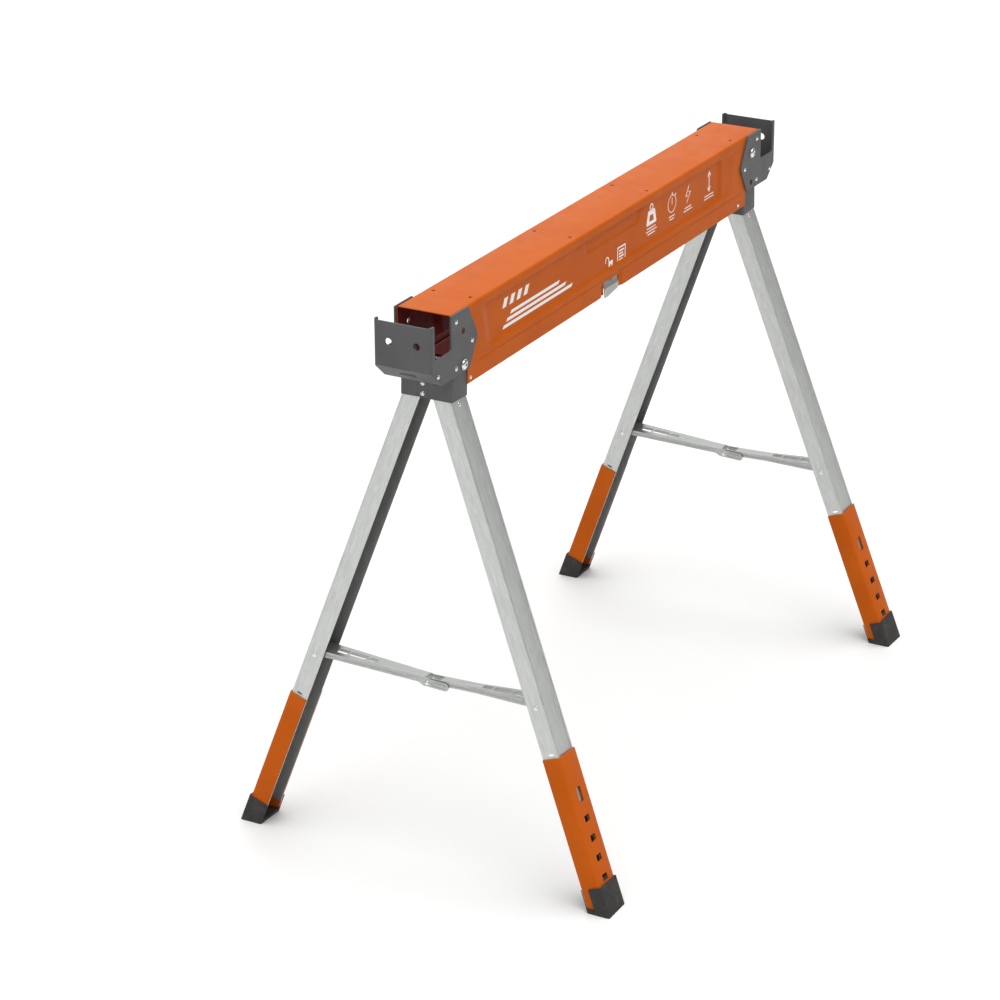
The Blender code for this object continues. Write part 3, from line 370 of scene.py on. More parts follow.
def galvanised_steel(name, tone, along, metallic):
    """Zinc-coated strip: faint spangle, fine rolling streaks along the piece and small dull spots."""
    def grey(level):
        return (tone * level * 0.985, tone * level * 1.01, tone * level * 0.98)

    m = Nodes(name, grey(0.61), 0.42, metallic)
    spangle = m.ranged(m.cells(210.0, (1.0, 1.0, 0.35)), 0.0, 1.0, 0.0, 1.0)
    base = m.mixed(spangle, grey(0.575), grey(0.675))
    streaks = m.ranged(m.noise(1.0, 5.0, 0.6, along), 0.35, 0.7, 0.0, 0.6)
    streaked = m.mixed(streaks, base, grey(0.44))
    spots = m.ranged(m.noise(150.0, 3.0), 0.62, 0.72, 0.0, 0.4)
    m.set("Base Color", m.mixed(spots, streaked, grey(0.50)))
    grain = m.ranged(spangle, 0.0, 1.0, 0.34, 0.44)
    m.set("Roughness", m.added(grain, m.ranged(streaks, 0.0, 0.5, 0.0, 0.12)))
    fine = m.bump(m.noise(1.0, 4.0, 0.5, (1400.0, 1400.0, 40.0)), 0.15, 0.0003)
    m.set("Normal", m.bump(m.noise(260.0, 2.0), 0.08, 0.0006, fine))
    return m.material


def plated_steel(name, colour, roughness):
    """Bright plated fasteners with slightly cloudy plating and turning marks."""
    m = Nodes(name, colour, roughness, 1.0)
    cloud = m.ranged(m.noise(400.0, 4.0), 0.3, 0.7, 0.0, 1.0)
    dull = tuple(0.78 * c for c in colour)
    m.set("Base Color", m.mixed(cloud, colour, dull))
    m.set("Roughness", m.ranged(m.noise(900.0, 3.0), 0.3, 0.7, roughness - 0.06, roughness + 0.10))
    m.set("Normal", m.bump(m.noise(2200.0, 2.0), 0.12, 0.0002))
    return m.material


def moulded_rubber(name):
    """Dull black rubber with a fine moulded texture and dusty lighter patches."""
    m = Nodes(name, (0.030, 0.029, 0.028), 0.78, 0.0)
    dust = m.ranged(m.noise(60.0, 5.0, 0.6), 0.45, 0.75, 0.0, 0.6)
    m.set("Base Color", m.mixed(dust, (0.024, 0.023, 0.022), (0.060, 0.057, 0.053)))
    m.set("Roughness", m.ranged(m.noise(300.0, 3.0), 0.3, 0.7, 0.68, 0.88))
    grain = m.bump(m.noise(1500.0, 2.0), 0.35, 0.0003)
    m.set("Normal", m.bump(m.noise(180.0, 3.0), 0.12, 0.0008, grain))
    return m.material


def screen_print(name):
    """White ink printed on the paint, a little thin in places."""
    m = Nodes(name, (0.90, 0.89, 0.86), 0.55, 0.0)
    thin = m.ranged(m.noise(700.0, 3.0), 0.55, 0.75, 0.0, 0.25)
    m.set("Base Color", m.mixed(thin, (0.90, 0.89, 0.86), (0.86, 0.62, 0.46)))
    m.set("Normal", m.bump(m.noise(1200.0, 2.0), 0.15, 0.0002))
    return m.material


def floor_paint(name):
    m = Nodes(name, (0.80, 0.80, 0.795), 0.65, 0.0)
    m.set("Base Color", m.mixed(m.noise(3.0, 3.0), (0.785, 0.785, 0.78), (0.81, 0.81, 0.805)))
    m.set("Roughness", m.ranged(m.noise(9.0, 3.0), 0.3, 0.7, 0.6, 0.72))
    return m.material


# each coat's fresh, darker and worn colour; the second row is no real coat but a dark red painted shade for
# the beam's inner faces
ORANGE_COAT = ((0.545, 0.108, 0.008), (0.500, 0.095, 0.006), (0.61, 0.19, 0.05))
INNER_PAINTED_SHADE = ((0.17, 0.004, 0.003), (0.11, 0.003, 0.002), (0.20, 0.015, 0.01))
GREY_COAT = ((0.108, 0.109, 0.108), (0.092, 0.093, 0.093), (0.17, 0.17, 0.17))
MATERIALS = {
    "orange": powder_coat("orange_powder_coat", *ORANGE_COAT[:2], 0.34, ORANGE_COAT[2], 0.035),
    # inside: painted shade, a dark red for the beam's inner faces, where the real inside is only in shadow
    "inside": powder_coat("thin_inner_coat", *INNER_PAINTED_SHADE[:2], 0.34, INNER_PAINTED_SHADE[2], 0.03),
    "grey": powder_coat("grey_powder_coat", *GREY_COAT[:2], 0.42, GREY_COAT[2], 0.12),
    "galvanised": galvanised_steel("galvanised_steel", 1.0, (900.0, 900.0, 22.0), 0.82),
    "dull": galvanised_steel("dull_galvanised_steel", 0.78, (700.0, 30.0, 700.0), 0.80),
    # leg_inside: a darker copy of the galvanised steel, painted shade for the insides of the legs and the
    # latch's bent-back top
    "leg_inside": galvanised_steel("shaded_galvanised_steel", 0.42, (700.0, 700.0, 22.0), 0.35),
    "zinc": plated_steel("bright_zinc", (0.82, 0.83, 0.83), 0.20),
    "spring": plated_steel("blued_spring_steel", (0.055, 0.055, 0.060), 0.42),
    "rubber": moulded_rubber("moulded_rubber"),
    "print": screen_print("white_print"),
    "floor": floor_paint("pale_floor"),
}


# ================================================================ frames of the moving pieces
def joint_frame(origin, x_axis, up_axis):
    """A frame at origin whose X is x_axis, whose Z is up_axis and whose Y points to the left."""
    x = Vector(x_axis).normalized()
    z = Vector(up_axis).normalized()
    y = z.cross(x).normalized()
    z = x.cross(y)
    matrix = Matrix((x, y, z)).transposed().to_4x4()
    matrix.translation = Vector(origin)
    return matrix


def local_box(node, place):
    """Lowest and highest corner of a CAD node in a piece's own frame."""
    back = place.inverted()
    points = [back @ vertex.co for vertex in frame["nodes"][node].data.vertices]
    low = Vector([min(p[k] for p in points) for k in range(3)])
    high = Vector([max(p[k] for p in points) for k in range(3)])
    return low, high


class Leg:
    """One leg's frame at its splay pin: X out of the leaning plane, Y to the left, Z up the leg."""

    def __init__(self, end, side):
        self.end, self.side = end, side
        self.e, self.s = ENDS[end], SIDES[side]
        self.name = "%s_%s" % (end, side)
        splay = JOINTS["splay_" + self.name]
        down = Vector(JOINTS["extend_" + self.name]["axis"])
        self.x_axis = Vector(splay["axis"]) * -self.s
        self.place = joint_frame(splay["pos_m"], self.x_axis, -down)
        self.low, self.high = local_box("leg_" + self.name, self.place)
        self.middle = (self.low.x + self.high.x) / 2
        self.web = self.s * max(abs(self.low.y), abs(self.high.y))
        brace = self.place.inverted() @ Vector(JOINTS["brace_" + self.name]["pos_m"])
        self.brace_z = brace.z


LEGS = {(end, side): Leg(end, side) for end in ENDS for side in SIDES}

# ================================================================ beam
BEAM_LOW, BEAM_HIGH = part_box("beam_shell")
BEAM_HALF = BEAM_HIGH[0]
BEAM_SIDE = BEAM_HIGH[1]
BEAM_TOP = BEAM_HIGH[2]
BEAM_BOTTOM = BEAM_LOW[2]
BEAM_CORNER = 0.003
BOLT_BORE = 0.0043
SPLAY_BORE = 0.0033
BRACE_BORE = 0.0028
TOP_HOLES_X = (0.111, 0.3745)
TOP_HOLE_Y = 0.0262
TOP_HOLE_RADIUS = 0.0024
LATCH_NOTCH = (-0.040, 0.0075, 0.675)
LUG_SHEET = 0.0024
PIVOT_X = abs(JOINTS["fold_near"]["pos_m"][0])
PIVOT_HEIGHTS = (JOINTS["fold_near"]["pos_m"][2], JOINTS["fold_far"]["pos_m"][2])
PANEL_DEPTH = 0.0034
# the far pair's folded head lies inside the beam past HEAD_ROOM_X, where the panel is shallow
HEAD_ROOM_X = 0.3262
HEAD_ROOM_RAMP = 0.0105
HEAD_ROOM_DEPTH = 0.0010
PANEL_Z = (0.6895, 0.7515)
PANEL_HALF_X = (0.352, 0.369)
MID_X = (-0.084, 0.072)
MID_Z = 0.7285
MID_DEPTH = 0.0012
BEAD_Z = 0.6815
DISH_X = (-0.047, 0.0185)
DISH_TOP = 0.6815
DISH_DEPTH = 0.0022


def ease(t):
    t = max(0.0, min(1.0, t))
    return t * t * (3 - 2 * t)


def bent(t):
    """A straight ramp from 0 to 1 with slightly rounded ends."""
    t = max(0.0, min(1.0, t))
    return 0.8 * t + 0.2 * ease(t)


def panel_depth(x, z):
    """How far the pressed side wall lies inside its flat plane."""
    rise = (z - PANEL_Z[0]) / (PANEL_Z[1] - PANEL_Z[0])
    half = PANEL_HALF_X[0] + (PANEL_HALF_X[1] - PANEL_HALF_X[0]) * rise
    panel = bent((half - abs(x)) / 0.016) * ease((z - PANEL_Z[0]) / 0.004) * ease((PANEL_Z[1] - z) / 0.004)
    slant = (z - MID_Z) * 0.35
    middle = ease((x - MID_X[0] + slant) / 0.007) * ease((MID_X[1] + slant - x) / 0.007)
    middle *= ease((z - MID_Z) / 0.004) * ease((PANEL_Z[1] - z) / 0.004)
    spare = ease((HEAD_ROOM_X - x) / HEAD_ROOM_RAMP)
    depth = HEAD_ROOM_DEPTH + (PANEL_DEPTH - HEAD_ROOM_DEPTH) * spare
    return depth * panel + MID_DEPTH * middle


def bead_depth(x, z):
    """A narrow pressed bead under the panel that fades out at its ends."""
    along = ease((0.392 - abs(x)) / 0.012)
    offset = abs(z - BEAD_Z) / 0.0024
    return 0.0009 * along * (1 - ease(offset))


def dish_depth(x, z):
    """The sunk area round the latch, only on the right wall."""
    across = ease((x - DISH_X[0]) / 0.008) * ease((DISH_X[1] - x) / 0.008)
    return DISH_DEPTH * across * ease((DISH_TOP - z) / 0.006)


def stations(ranges):
    """Sorted positions from a list of (start, stop, step)."""
    found = set()
    for start, stop, step in ranges:
        count = max(1, round((stop - start) / step))
        for k in range(count + 1):
            found.add(round(start + (stop - start) * k / count, 5))
    ordered = sorted(found)
    kept = ordered[:1]
    for value in ordered[1:]:
        if value - kept[-1] > 0.0004:
            kept.append(value)
    return kept


def beam_shell():
    end = BEAM_HALF
    along = [(-end, -0.392, 0.02), (-0.396, -0.378, 0.003), (-0.378, -0.336, 0.0021), (-0.336, -0.1, 0.02)]
    along += [(-0.1, -0.062, 0.0021), (-0.056, -0.034, 0.0021), (-0.034, 0.006, 0.004)]
    along += [(0.006, 0.022, 0.0021)]
    along += [(0.022, 0.05, 0.01), (0.05, 0.078, 0.0021), (0.078, 0.312, 0.02), (0.312, 0.378, 0.0021)]
    along += [(0.378, 0.396, 0.003), (0.392, end, 0.02)]
    xs = stations(along)
    up = [(BEAM_BOTTOM, 0.674, 0.003), (0.674, 0.6855, 0.0007), (0.6855, 0.6955, 0.001)]
    up += [(0.6955, 0.726, 0.006), (0.726, 0.7345, 0.001), (0.7345, 0.746, 0.005), (0.746, 0.7535, 0.001)]
    up += [(0.7535, BEAM_TOP - BEAM_CORNER, 0.0015)]
    zs = stations(up)
    section = [(-BEAM_SIDE, z, -1.0) for z in zs]
    corner = arc((-BEAM_SIDE + BEAM_CORNER, BEAM_TOP - BEAM_CORNER), BEAM_CORNER, 180, 90, 6)
    section += [(y, z, 0.0) for y, z in corner[1:]]
    section += [(-y, z, 0.0) for y, z in reversed(corner[1:])]
    section += [(BEAM_SIDE, z, 1.0) for z in reversed(zs)]
    shape = bmesh.new()
    rows = []
    for y, z, wall in section:
        row = []
        for x in xs:
            depth = 0.0
            if wall:
                depth = panel_depth(x, z) + bead_depth(x, z)
            if wall < 0:
                depth = max(depth, dish_depth(x, z))
            row.append(shape.verts.new((x, y - wall * depth, z)))
        rows.append(row)
    for lower, upper in zip(rows, rows[1:]):
        for k in range(len(xs) - 1):
            shape.faces.new((lower[k], upper[k], upper[k + 1], lower[k + 1]))
    bmesh.ops.recalc_face_normals(shape, faces=shape.faces)
    top = max(shape.faces, key=lambda face: face.calc_center_median().z)
    if top.normal.z < 0:
        bmesh.ops.reverse_faces(shape, faces=shape.faces)
    beam = shape_object("beam", shape)
    thick = beam.modifiers.new("sheet", "SOLIDIFY")
    thick.thickness = BEAM_SHEET
    thick.offset = -1.0
    thick.use_even_offset = True
    # the solidified inner faces take the second material, the painted shade
    thick.material_offset = 1
    beam.data.materials.append(MATERIALS["orange"])
    beam.data.materials.append(MATERIALS["inside"])
    tools = []
    for e in ENDS.values():
        cut_low, cut_high = (e * 0.4036, -0.05, BEAM_BOTTOM - BEYOND), (e * (end + BEYOND), 0.05, 0.680)
        tools.append(block(cut_low, cut_high))
        for height in PIVOT_HEIGHTS:
            tools.append(rod((e * PIVOT_X, -0.06, height), (e * PIVOT_X, 0.06, height), BOLT_BORE))
        for x in TOP_HOLES_X:
            for s in SIDES.values():
                under = (e * x, s * TOP_HOLE_Y, BEAM_TOP - BEYOND)
                above = (e * x, s * TOP_HOLE_Y, BEAM_TOP + BEYOND)
                tools.append(rod(under, above, TOP_HOLE_RADIUS, 20))
    left, right, top_z = LATCH_NOTCH
    low_z = BEAM_BOTTOM - BEYOND
    notch = [(left, low_z), (left, top_z), (right, top_z), (right, low_z)]
    tools.append(slab(rounded(notch, [0, 0.003, 0.003, 0]), "XZ", -0.06, -0.02))
    return carve(beam, tools)


def build_beam():
    piece(beam_shell(), "beam_body", "orange", "beam", stands_for=["beam_shell"], smooth=40)
    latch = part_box("latch_pin")
    lugs = []
    for x in (latch[0][0], latch[1][0] - LUG_SHEET):
        z = (latch[0][2] + latch[1][2]) / 2
        y = (latch[0][1] + latch[1][1]) / 2
        foot = BEAM_BOTTOM + 0.0004
        root = -BEAM_SIDE + 0.0022
        corners = [(root, foot), (y + 0.003, foot), (y + 0.003, z + 0.003), (root, z + 0.004)]
        outline = rounded(corners, [0, 0.0015, 0.0028, 0])
        bore = rod((x - 0.01, y, z), (x + 0.01, y, z), 0.0018, 20)
        lugs.append(carve(slab(outline, "YZ", x, x + LUG_SHEET), [bore]))
    piece(joined(lugs), "latch_lugs", "orange", "beam", edge=0.0003)
    for s in SIDES.values():
        for number, (x, z, radius) in enumerate(((0.380, 0.6655, 0.0026), (-0.3965, 0.6655, 0.0026))):
            rivet = dome((x, s * BEAM_SIDE, z), (0, s, 0), radius, 0.0011, 0.0005)
            piece(rivet, "beam_rivet_%d_%s" % (number + 1, "left" if s > 0 else "right"), "zinc", "beam")


# ================================================================ end brackets
WING_Y = 0.0407
PLATE_X = 0.4965
PLATE_TOP = 0.7605
WING_TOP = 0.7620
WING_BOTTOM = 0.680
WING_RIVETS = ((0.4345, 0.7507), (0.3955, 0.715), (0.4355, 0.690), (0.480, 0.694))


def wing_outline():
    """Side view of a wing as (distance from the middle, height), with its cradle notch."""
    corners = [(0.4035, WING_BOTTOM), (0.4715, WING_BOTTOM), (PLATE_X, 0.7022), (PLATE_X, WING_TOP)]
    corners += [(0.488, WING_TOP), (0.488, 0.717), (0.4475, 0.717), (0.4475, WING_TOP)]
    corners += [(0.4045, WING_TOP), (0.3815, 0.718)]
    radii = [0.001, 0.003, 0.003, 0.0016, 0.0016, 0.004, 0.004, 0.0012, 0.002, 0.003]
    return rounded(corners, radii)


def build_bracket(end, e):
    inner = WING_Y - BRACKET_SHEET
    bend = 0.0034
    tip = 0.37
    outside = [(tip, -WING_Y), (PLATE_X, -WING_Y), (PLATE_X, WING_Y), (tip, WING_Y)]
    back = PLATE_X - BRACKET_SHEET
    inside = [(tip, inner), (back, inner), (back, -inner), (tip, -inner)]
    plan = rounded(outside + inside, [0, bend, bend, 0, 0, bend - BRACKET_SHEET, bend - BRACKET_SHEET, 0])
    bracket = slab([(e * x, y) for x, y in plan], "XY", 0.66, 0.78)
    side = slab([(e * x, z) for x, z in wing_outline()], "XZ", -0.05, 0.05)
    carve(bracket, [side], "INTERSECT")
    trim = [(-0.0367, 0.79), (-0.0367, PLATE_TOP), (0.0367, PLATE_TOP), (0.0367, 0.79)]
    trim = rounded(trim, [0, 0.0008, 0.0008, 0])
    tools = [slab(trim, "YZ", e * 0.4885, e * 0.51)]
    for s in SIDES.values():
        tools.append(rod((e * 0.48, s * 0.0198, 0.7348), (e * 0.51, s * 0.0198, 0.7348), 0.005, 36))
    for height in PIVOT_HEIGHTS:
        tools.append(rod((e * PIVOT_X, -0.06, height), (e * PIVOT_X, 0.06, height), BOLT_BORE, 32))
    slope = Vector((PLATE_X - 0.4715, 0.7022 - WING_BOTTOM)).normalized()
    normal = Vector((-slope.y, slope.x)) * BRACKET_SHEET
    foot, knee = Vector((0.4715, WING_BOTTOM)), Vector((PLATE_X, 0.7022))
    face = PLATE_X - 0.0001
    strip = [foot, knee - Vector((0.0001, 0)), Vector((face, 0.7085)), Vector((face - BRACKET_SHEET, 0.7085))]
    strip += [Vector((face - BRACKET_SHEET, knee.y + 0.0012)), foot + normal]
    radii = [0.0008, 0.0026, 0, 0, 0.001, 0.0008]
    flange = slab(rounded([(e * p.x, p.y) for p in strip], radii), "XZ", -inner - 0.0006, inner + 0.0006)
    middle = (foot + knee) / 2
    slot_low, slot_high = e * (middle.x - 0.0026), e * (middle.x + 0.0026)
    flange_slot = rounded(four_corners(slot_low, -0.012, slot_high, 0.012), 0.0024)
    carve(flange, [slab(flange_slot, "XY", middle.y - 0.02, middle.y + 0.02)])
    carve(bracket, [flange], "UNION")
    carve(bracket, tools)
    piece(bracket, "end_bracket_sheet_" + end, "grey", "beam", edge=0.0004, stands_for=["end_bracket_" + end])
    for side_name, s in SIDES.items():
        for number, (x, z) in enumerate(WING_RIVETS):
            rivet = dome((e * x, s * (WING_Y - 0.0004), z), (0, s, 0), 0.0034, 0.0014, 0.0009)
            piece(rivet, "wing_rivet_%s_%s_%d" % (end, side_name, number + 1), "zinc", "beam")


# ================================================================ pivot bolts
def build_bolt(end):
    x, _, z = JOINTS["fold_" + end]["pos_m"]
    head_y = WING_Y + GAP
    shank = rod((x, -head_y - 0.001, z), (x, head_y + 0.0078, z), 0.0040, 32)
    washer = rod((x, -head_y - 0.0010, z), (x, -head_y, z), 0.0070, 40)
    head = dome((x, -head_y - 0.0010, z), (0, -1, 0), 0.0062, 0.0030, 0.0, 8, 36)
    socket = hexagon(x, z, 0.0026)
    bolt = carve(shank, [washer, head], "UNION")
    carve(bolt, [slab(socket, "XZ", -head_y - 0.0090, -head_y - 0.0022)])
    piece(bolt, "pivot_bolt_body_" + end, "zinc", "beam", edge=0.0002, stands_for=["pivot_bolt_" + end])
    nut = slab(hexagon(x, z, 0.0070), "XZ", head_y, head_y + 0.0060)
    chamfer = rod((x, head_y - 0.004, z), (x, head_y + 0.0105, z), 0.0108, 40, 0.0034)
    carve(nut, [chamfer], "INTERSECT")
    carve(nut, [rod((x, head_y - 0.01, z), (x, head_y + 0.02, z), BOLT_BORE, 32)])
    piece(nut, "pivot_nut_body_" + end, "zinc", "beam", edge=0.0002, stands_for=["pivot_nut_" + end])
    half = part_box("pivot_sleeve_" + end)[1][1]
    sleeve = rod((x, -half, z), (x, half, z), 0.0065, 40)
    carve(sleeve, [rod((x, -half - 0.01, z), (x, half + 0.01, z), BOLT_BORE, 40)])
    node = "pivot_sleeve_" + end
    piece(sleeve, "pivot_sleeve_body_" + end, "zinc", "sleeve_" + end, edge=0.0003, stands_for=[node])


# ================================================================ leg heads
SEAM = (-0.0065, -0.0020, 0.0120)


def build_head(end, e):
    leg = LEGS[(end, "left")]
    place = joint_frame(JOINTS["fold_" + end]["pos_m"], leg.x_axis, leg.x_axis.cross(Vector((0, 1, 0))))
    low, high = local_box("leg_head_" + end, place)
    outer = high.x if e > 0 else -low.x
    inner = -(low.x if e > 0 else -high.x)
    half = high.y
    bottom = low.z
    pin_z = (place.inverted() @ Vector(JOINTS["splay_%s_left" % end]["pos_m"])).z
    skirt = bottom + 0.030
    bend = 0.0026
    face = outer - 0.0001
    corners = [(-inner, -half), (face, -half), (face, half), (-inner, half)]
    full = rounded(corners, bend)
    notch = [(face - 0.0011, SEAM[1] - 0.0016), (face - 0.0011, SEAM[1])]
    notch += [(face + 0.002, SEAM[1]), (face + 0.002, SEAM[0])]
    strip = [(face - 0.0009, SEAM[1] - 0.0005), (face - 0.0009, SEAM[2])]
    strip += [(face + 0.002, SEAM[2] + 0.0025), (face + 0.002, SEAM[1] - 0.0005)]
    head = slab([(e * x, y) for x, y in full], "XY", bottom, 0.015)
    side = [(-inner, bottom), (face, bottom), (face, skirt), (0.015, skirt + 0.004)]
    side += arc((0, 0), 0.015, 0, 180, 14) + [(-0.015, skirt + 0.004), (-inner, skirt)]
    side_slab = slab([(e * x, z) for x, z in side], "XZ", -0.05, 0.05)
    carve(head, [side_slab], "INTERSECT")
    wall = half - HEAD_SHEET
    corners = four_corners(-inner + HEAD_SHEET, -wall, face - HEAD_SHEET, wall)
    hollow = rounded(corners, bend - HEAD_SHEET)
    tools = [slab([(e * x, y) for x, y in hollow], "XY", bottom - 0.02, 0.04)]
    tools.append(block((e * -0.05, -wall, skirt), (e * 0.05, wall, 0.05)))
    tools.append(rod((0, -0.06, 0), (0, 0.06, 0), 0.0068, 40))
    tools.append(slab([(e * x, y) for x, y in notch], "XY", bottom - 0.02, 0.04))
    tools.append(slab([(e * x, y) for x, y in strip], "XY", bottom - 0.02, 0.04))
    for s in SIDES.values():
        pin_y = abs((place.inverted() @ Vector(JOINTS["splay_%s_left" % end]["pos_m"])).y)
        tools.append(rod((-0.05, s * pin_y, pin_z), (0.05, s * pin_y, pin_z), SPLAY_BORE, 28))
    carve(head, tools)
    node = "leg_head_" + end
    piece(head, "leg_head_sheet_" + end, "grey", "head_" + end, place, edge=0.00035, stands_for=[node])
    for number in (1, 2):
        node = "head_rivet_%s_%d" % (end, number)
        rivet_low, rivet_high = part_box(node)
        at = (Vector(rivet_low) + Vector(rivet_high)) / 2
        local = place.inverted() @ at
        rivet = dome((e * (face - 0.0009), local.y, local.z), (e, 0, 0), 0.0031, 0.0015, 0.0009)
        name = "head_rivet_body_%s_%d" % (end, number)
        piece(rivet, name, "zinc", "head_" + end, place, stands_for=[node])
    for side_name, s in SIDES.items():
        node = "splay_pin_%s_%s" % (end, side_name)
        pin_low, pin_high = local_box(node, place)
        pin_y = (pin_low.y + pin_high.y) / 2
        ends = sorted((-e * inner, e * (face + 0.0001)))
        pin = rod((ends[0], pin_y, pin_z), (ends[1], pin_y, pin_z), 0.0030, 28)
        crown_x = -e * inner - e * GAP
        crown = dome((crown_x, pin_y, pin_z), (-e, 0, 0), 0.0041, 0.0009)
        carve(pin, [crown], "UNION")
        name = "splay_pin_body_%s_%s" % (end, side_name)
        piece(pin, name, "grey", "head_" + end, place, edge=0.0003, stands_for=[node])


# ================================================================ legs
RIB = 0.0032
RIB_STEP = 0.0011


def channel(low, high, open_y, web_y, sheet, bend, rib=0.0, step=0.0):
    """Channel section with rounded bends, open toward open_y; the web is stepped in between two ribs."""
    turn = 1 if web_y > open_y else -1
    inner = web_y - turn * sheet
    slope = step * 0.35
    outside = [(low, open_y), (low, web_y)]
    radii = [0.0003, bend]
    if rib:
        outside += [(low + rib, web_y), (low + rib + slope, web_y - turn * step)]
        outside += [(high - rib - slope, web_y - turn * step), (high - rib, web_y)]
        radii += [0.0006, 0.0004, 0.0004, 0.0006]
    outside += [(high, web_y), (high, open_y)]
    radii += [bend, 0.0003]
    inside = [(high - sheet, open_y), (high - sheet, inner - turn * 0.0001)]
    radii += [0.0003, max(bend - sheet, 0.0003)]
    if rib:
        floor, stepped = inner - turn * 0.0001, inner - turn * step
        inside += [(high - rib - 0.0004, floor), (high - rib - slope - 0.0002, stepped)]
        inside += [(low + rib + slope + 0.0002, stepped), (low + rib + 0.0004, floor)]
        radii += [0, 0, 0, 0]
    inside += [(low + sheet, inner - turn * 0.0001), (low + sheet, open_y)]
    radii += [max(bend - sheet, 0.0003), 0.0003]
    return rounded(outside + inside, radii, 3)


def tube_details(leg):
    """The foot tube's lowest and highest corner in the leg's frame, and how far its top lies down the leg
    from the splay pin.
    """
    low, high = local_box("foot_tube_" + leg.name, leg.place)
    return low, high, -high.z


TUBE_SLOT = (0.0569, 0.021, 0.0100)
TUBE_HOLES = (0.0892, 0.1161, 0.1430, 0.1701)
TUBE_HOLE = (0.0120, 0.0090)
LEG_RELIEF = (0.0825, 0.1545)
LEG_RELIEF_WIDTH = 0.011
LOCK_STRIP = (0.014, 0.105)


def build_leg(leg):
    name, s = leg.name, leg.s
    low, high, w = leg.low, leg.high, abs(leg.web)
    _, _, tube_top = tube_details(leg)
    section = channel(low.x, high.x, -s * w, s * w, LEG_SHEET, 0.0016, RIB, RIB_STEP)
    body = slab(section, "XY", low.z, high.z)
    lock_at = tube_top + TUBE_HOLES[-1]
    tools = [rod((-0.05, 0, 0), (0.05, 0, 0), SPLAY_BORE, 28)]
    tools.append(rod((-0.05, 0, leg.brace_z), (0.05, 0, leg.brace_z), BRACE_BORE, 28))
    tools.append(slab(rectangle(leg.middle, -lock_at, TUBE_HOLE[0], TUBE_HOLE[1], 0.0012), "XZ", 0, s * 0.03))
    relief_z = -tube_top - (LEG_RELIEF[0] + LEG_RELIEF[1]) / 2
    relief = rectangle(leg.middle, relief_z, LEG_RELIEF_WIDTH, LEG_RELIEF[1] - LEG_RELIEF[0], 0.003)
    tools.append(slab(relief, "XZ", 0, s * 0.03))
    slit = rectangle(s * 0.0012, -tube_top + 0.0048, 0.0085, 0.0026, 0.0010)
    tools.append(slab(slit, "YZ", low.x - 0.01, low.x + 0.005))
    carve(body, tools)
    body.data.materials.clear()
    body.data.materials.append(MATERIALS["galvanised"])
    body.data.materials.append(MATERIALS["leg_inside"])
    # faces inside the channel take the darker steel: painted shade
    skin = 0.6 * LEG_SHEET
    for face in body.data.polygons:
        centre = face.center
        within = low.x + skin < centre.x < high.x - skin
        if within and s * centre.y < w - RIB_STEP - skin and abs(face.normal.z) < 0.5:
            face.material_index = 1
    node = "leg_" + name
    piece(body, "leg_body_" + name, "galvanised", node, leg.place, edge=0.0002, stands_for=[node])
    rivet_low, rivet_high = local_box("leg_rivet_" + name, leg.place)
    at = (rivet_low + rivet_high) / 2
    rivet = dome((at.x, s * (w - RIB_STEP - 0.0005), at.z), (0, s, 0), 0.0030, 0.0015, 0.0008)
    piece(rivet, "leg_rivet_body_" + name, "zinc", "leg_" + name, leg.place, stands_for=["leg_rivet_" + name])
    pin = rod((low.x - 0.0006, 0, leg.brace_z), (high.x + 0.0006, 0, leg.brace_z), 0.0025, 28)
    crowns = []
    for x, turn in ((low.x - 0.0001, -1), (high.x + 0.0001, 1)):
        crowns.append(dome((x, 0, leg.brace_z), (turn, 0, 0), 0.0034, 0.0009, 0.0006))
    carve(pin, crowns, "UNION")
    piece(pin, "brace_pin_body_" + name, "zinc", "leg_" + name, leg.place, stands_for=["brace_pin_" + name])
    build_lock(leg, lock_at)


def build_lock(leg, lock_at):
    s, middle, w = leg.s, leg.middle, abs(leg.web)
    face = w - RIB_STEP - LEG_SHEET - GAP
    tip = w + 0.0014
    strip_z = -lock_at + LOCK_STRIP[1] / 2 - 0.008
    outline = rectangle(middle, strip_z, LOCK_STRIP[0], LOCK_STRIP[1], 0.002)
    strip = slab(outline, "XZ", s * (face - 0.0008), s * face)
    nose = [(s * (face - 0.0005), -lock_at - 0.0040), (s * tip, -lock_at - 0.0040)]
    nose += [(s * tip, -lock_at + 0.0008), (s * (face - 0.0005), -lock_at + 0.0040)]
    half = TUBE_HOLE[0] / 2 - GAP
    nose = slab(rounded(nose, [0, 0.0010, 0.0014, 0]), "YZ", middle - half, middle + half)
    carve(strip, [nose], "UNION")
    rivet = dome((middle, s * (face - 0.0008), -lock_at + 0.091), (0, -s, 0), 0.0028, 0.0012)
    carve(strip, [rivet], "UNION")
    name, node = "lock_spring_body_" + leg.name, "lock_spring_" + leg.name
    piece(strip, name, "spring", "leg_" + leg.name, leg.place, edge=0.0002, stands_for=[node])


# ================================================================ foot tubes and rubber feet
def level_block(leg, height, depth=0.08):
    """A block in the leg's frame that fills what lies under a world height."""
    tool = block((-0.6, -0.6, height - depth), (0.6, 0.6, height))
    tool.data.transform(leg.place.inverted())
    return tool


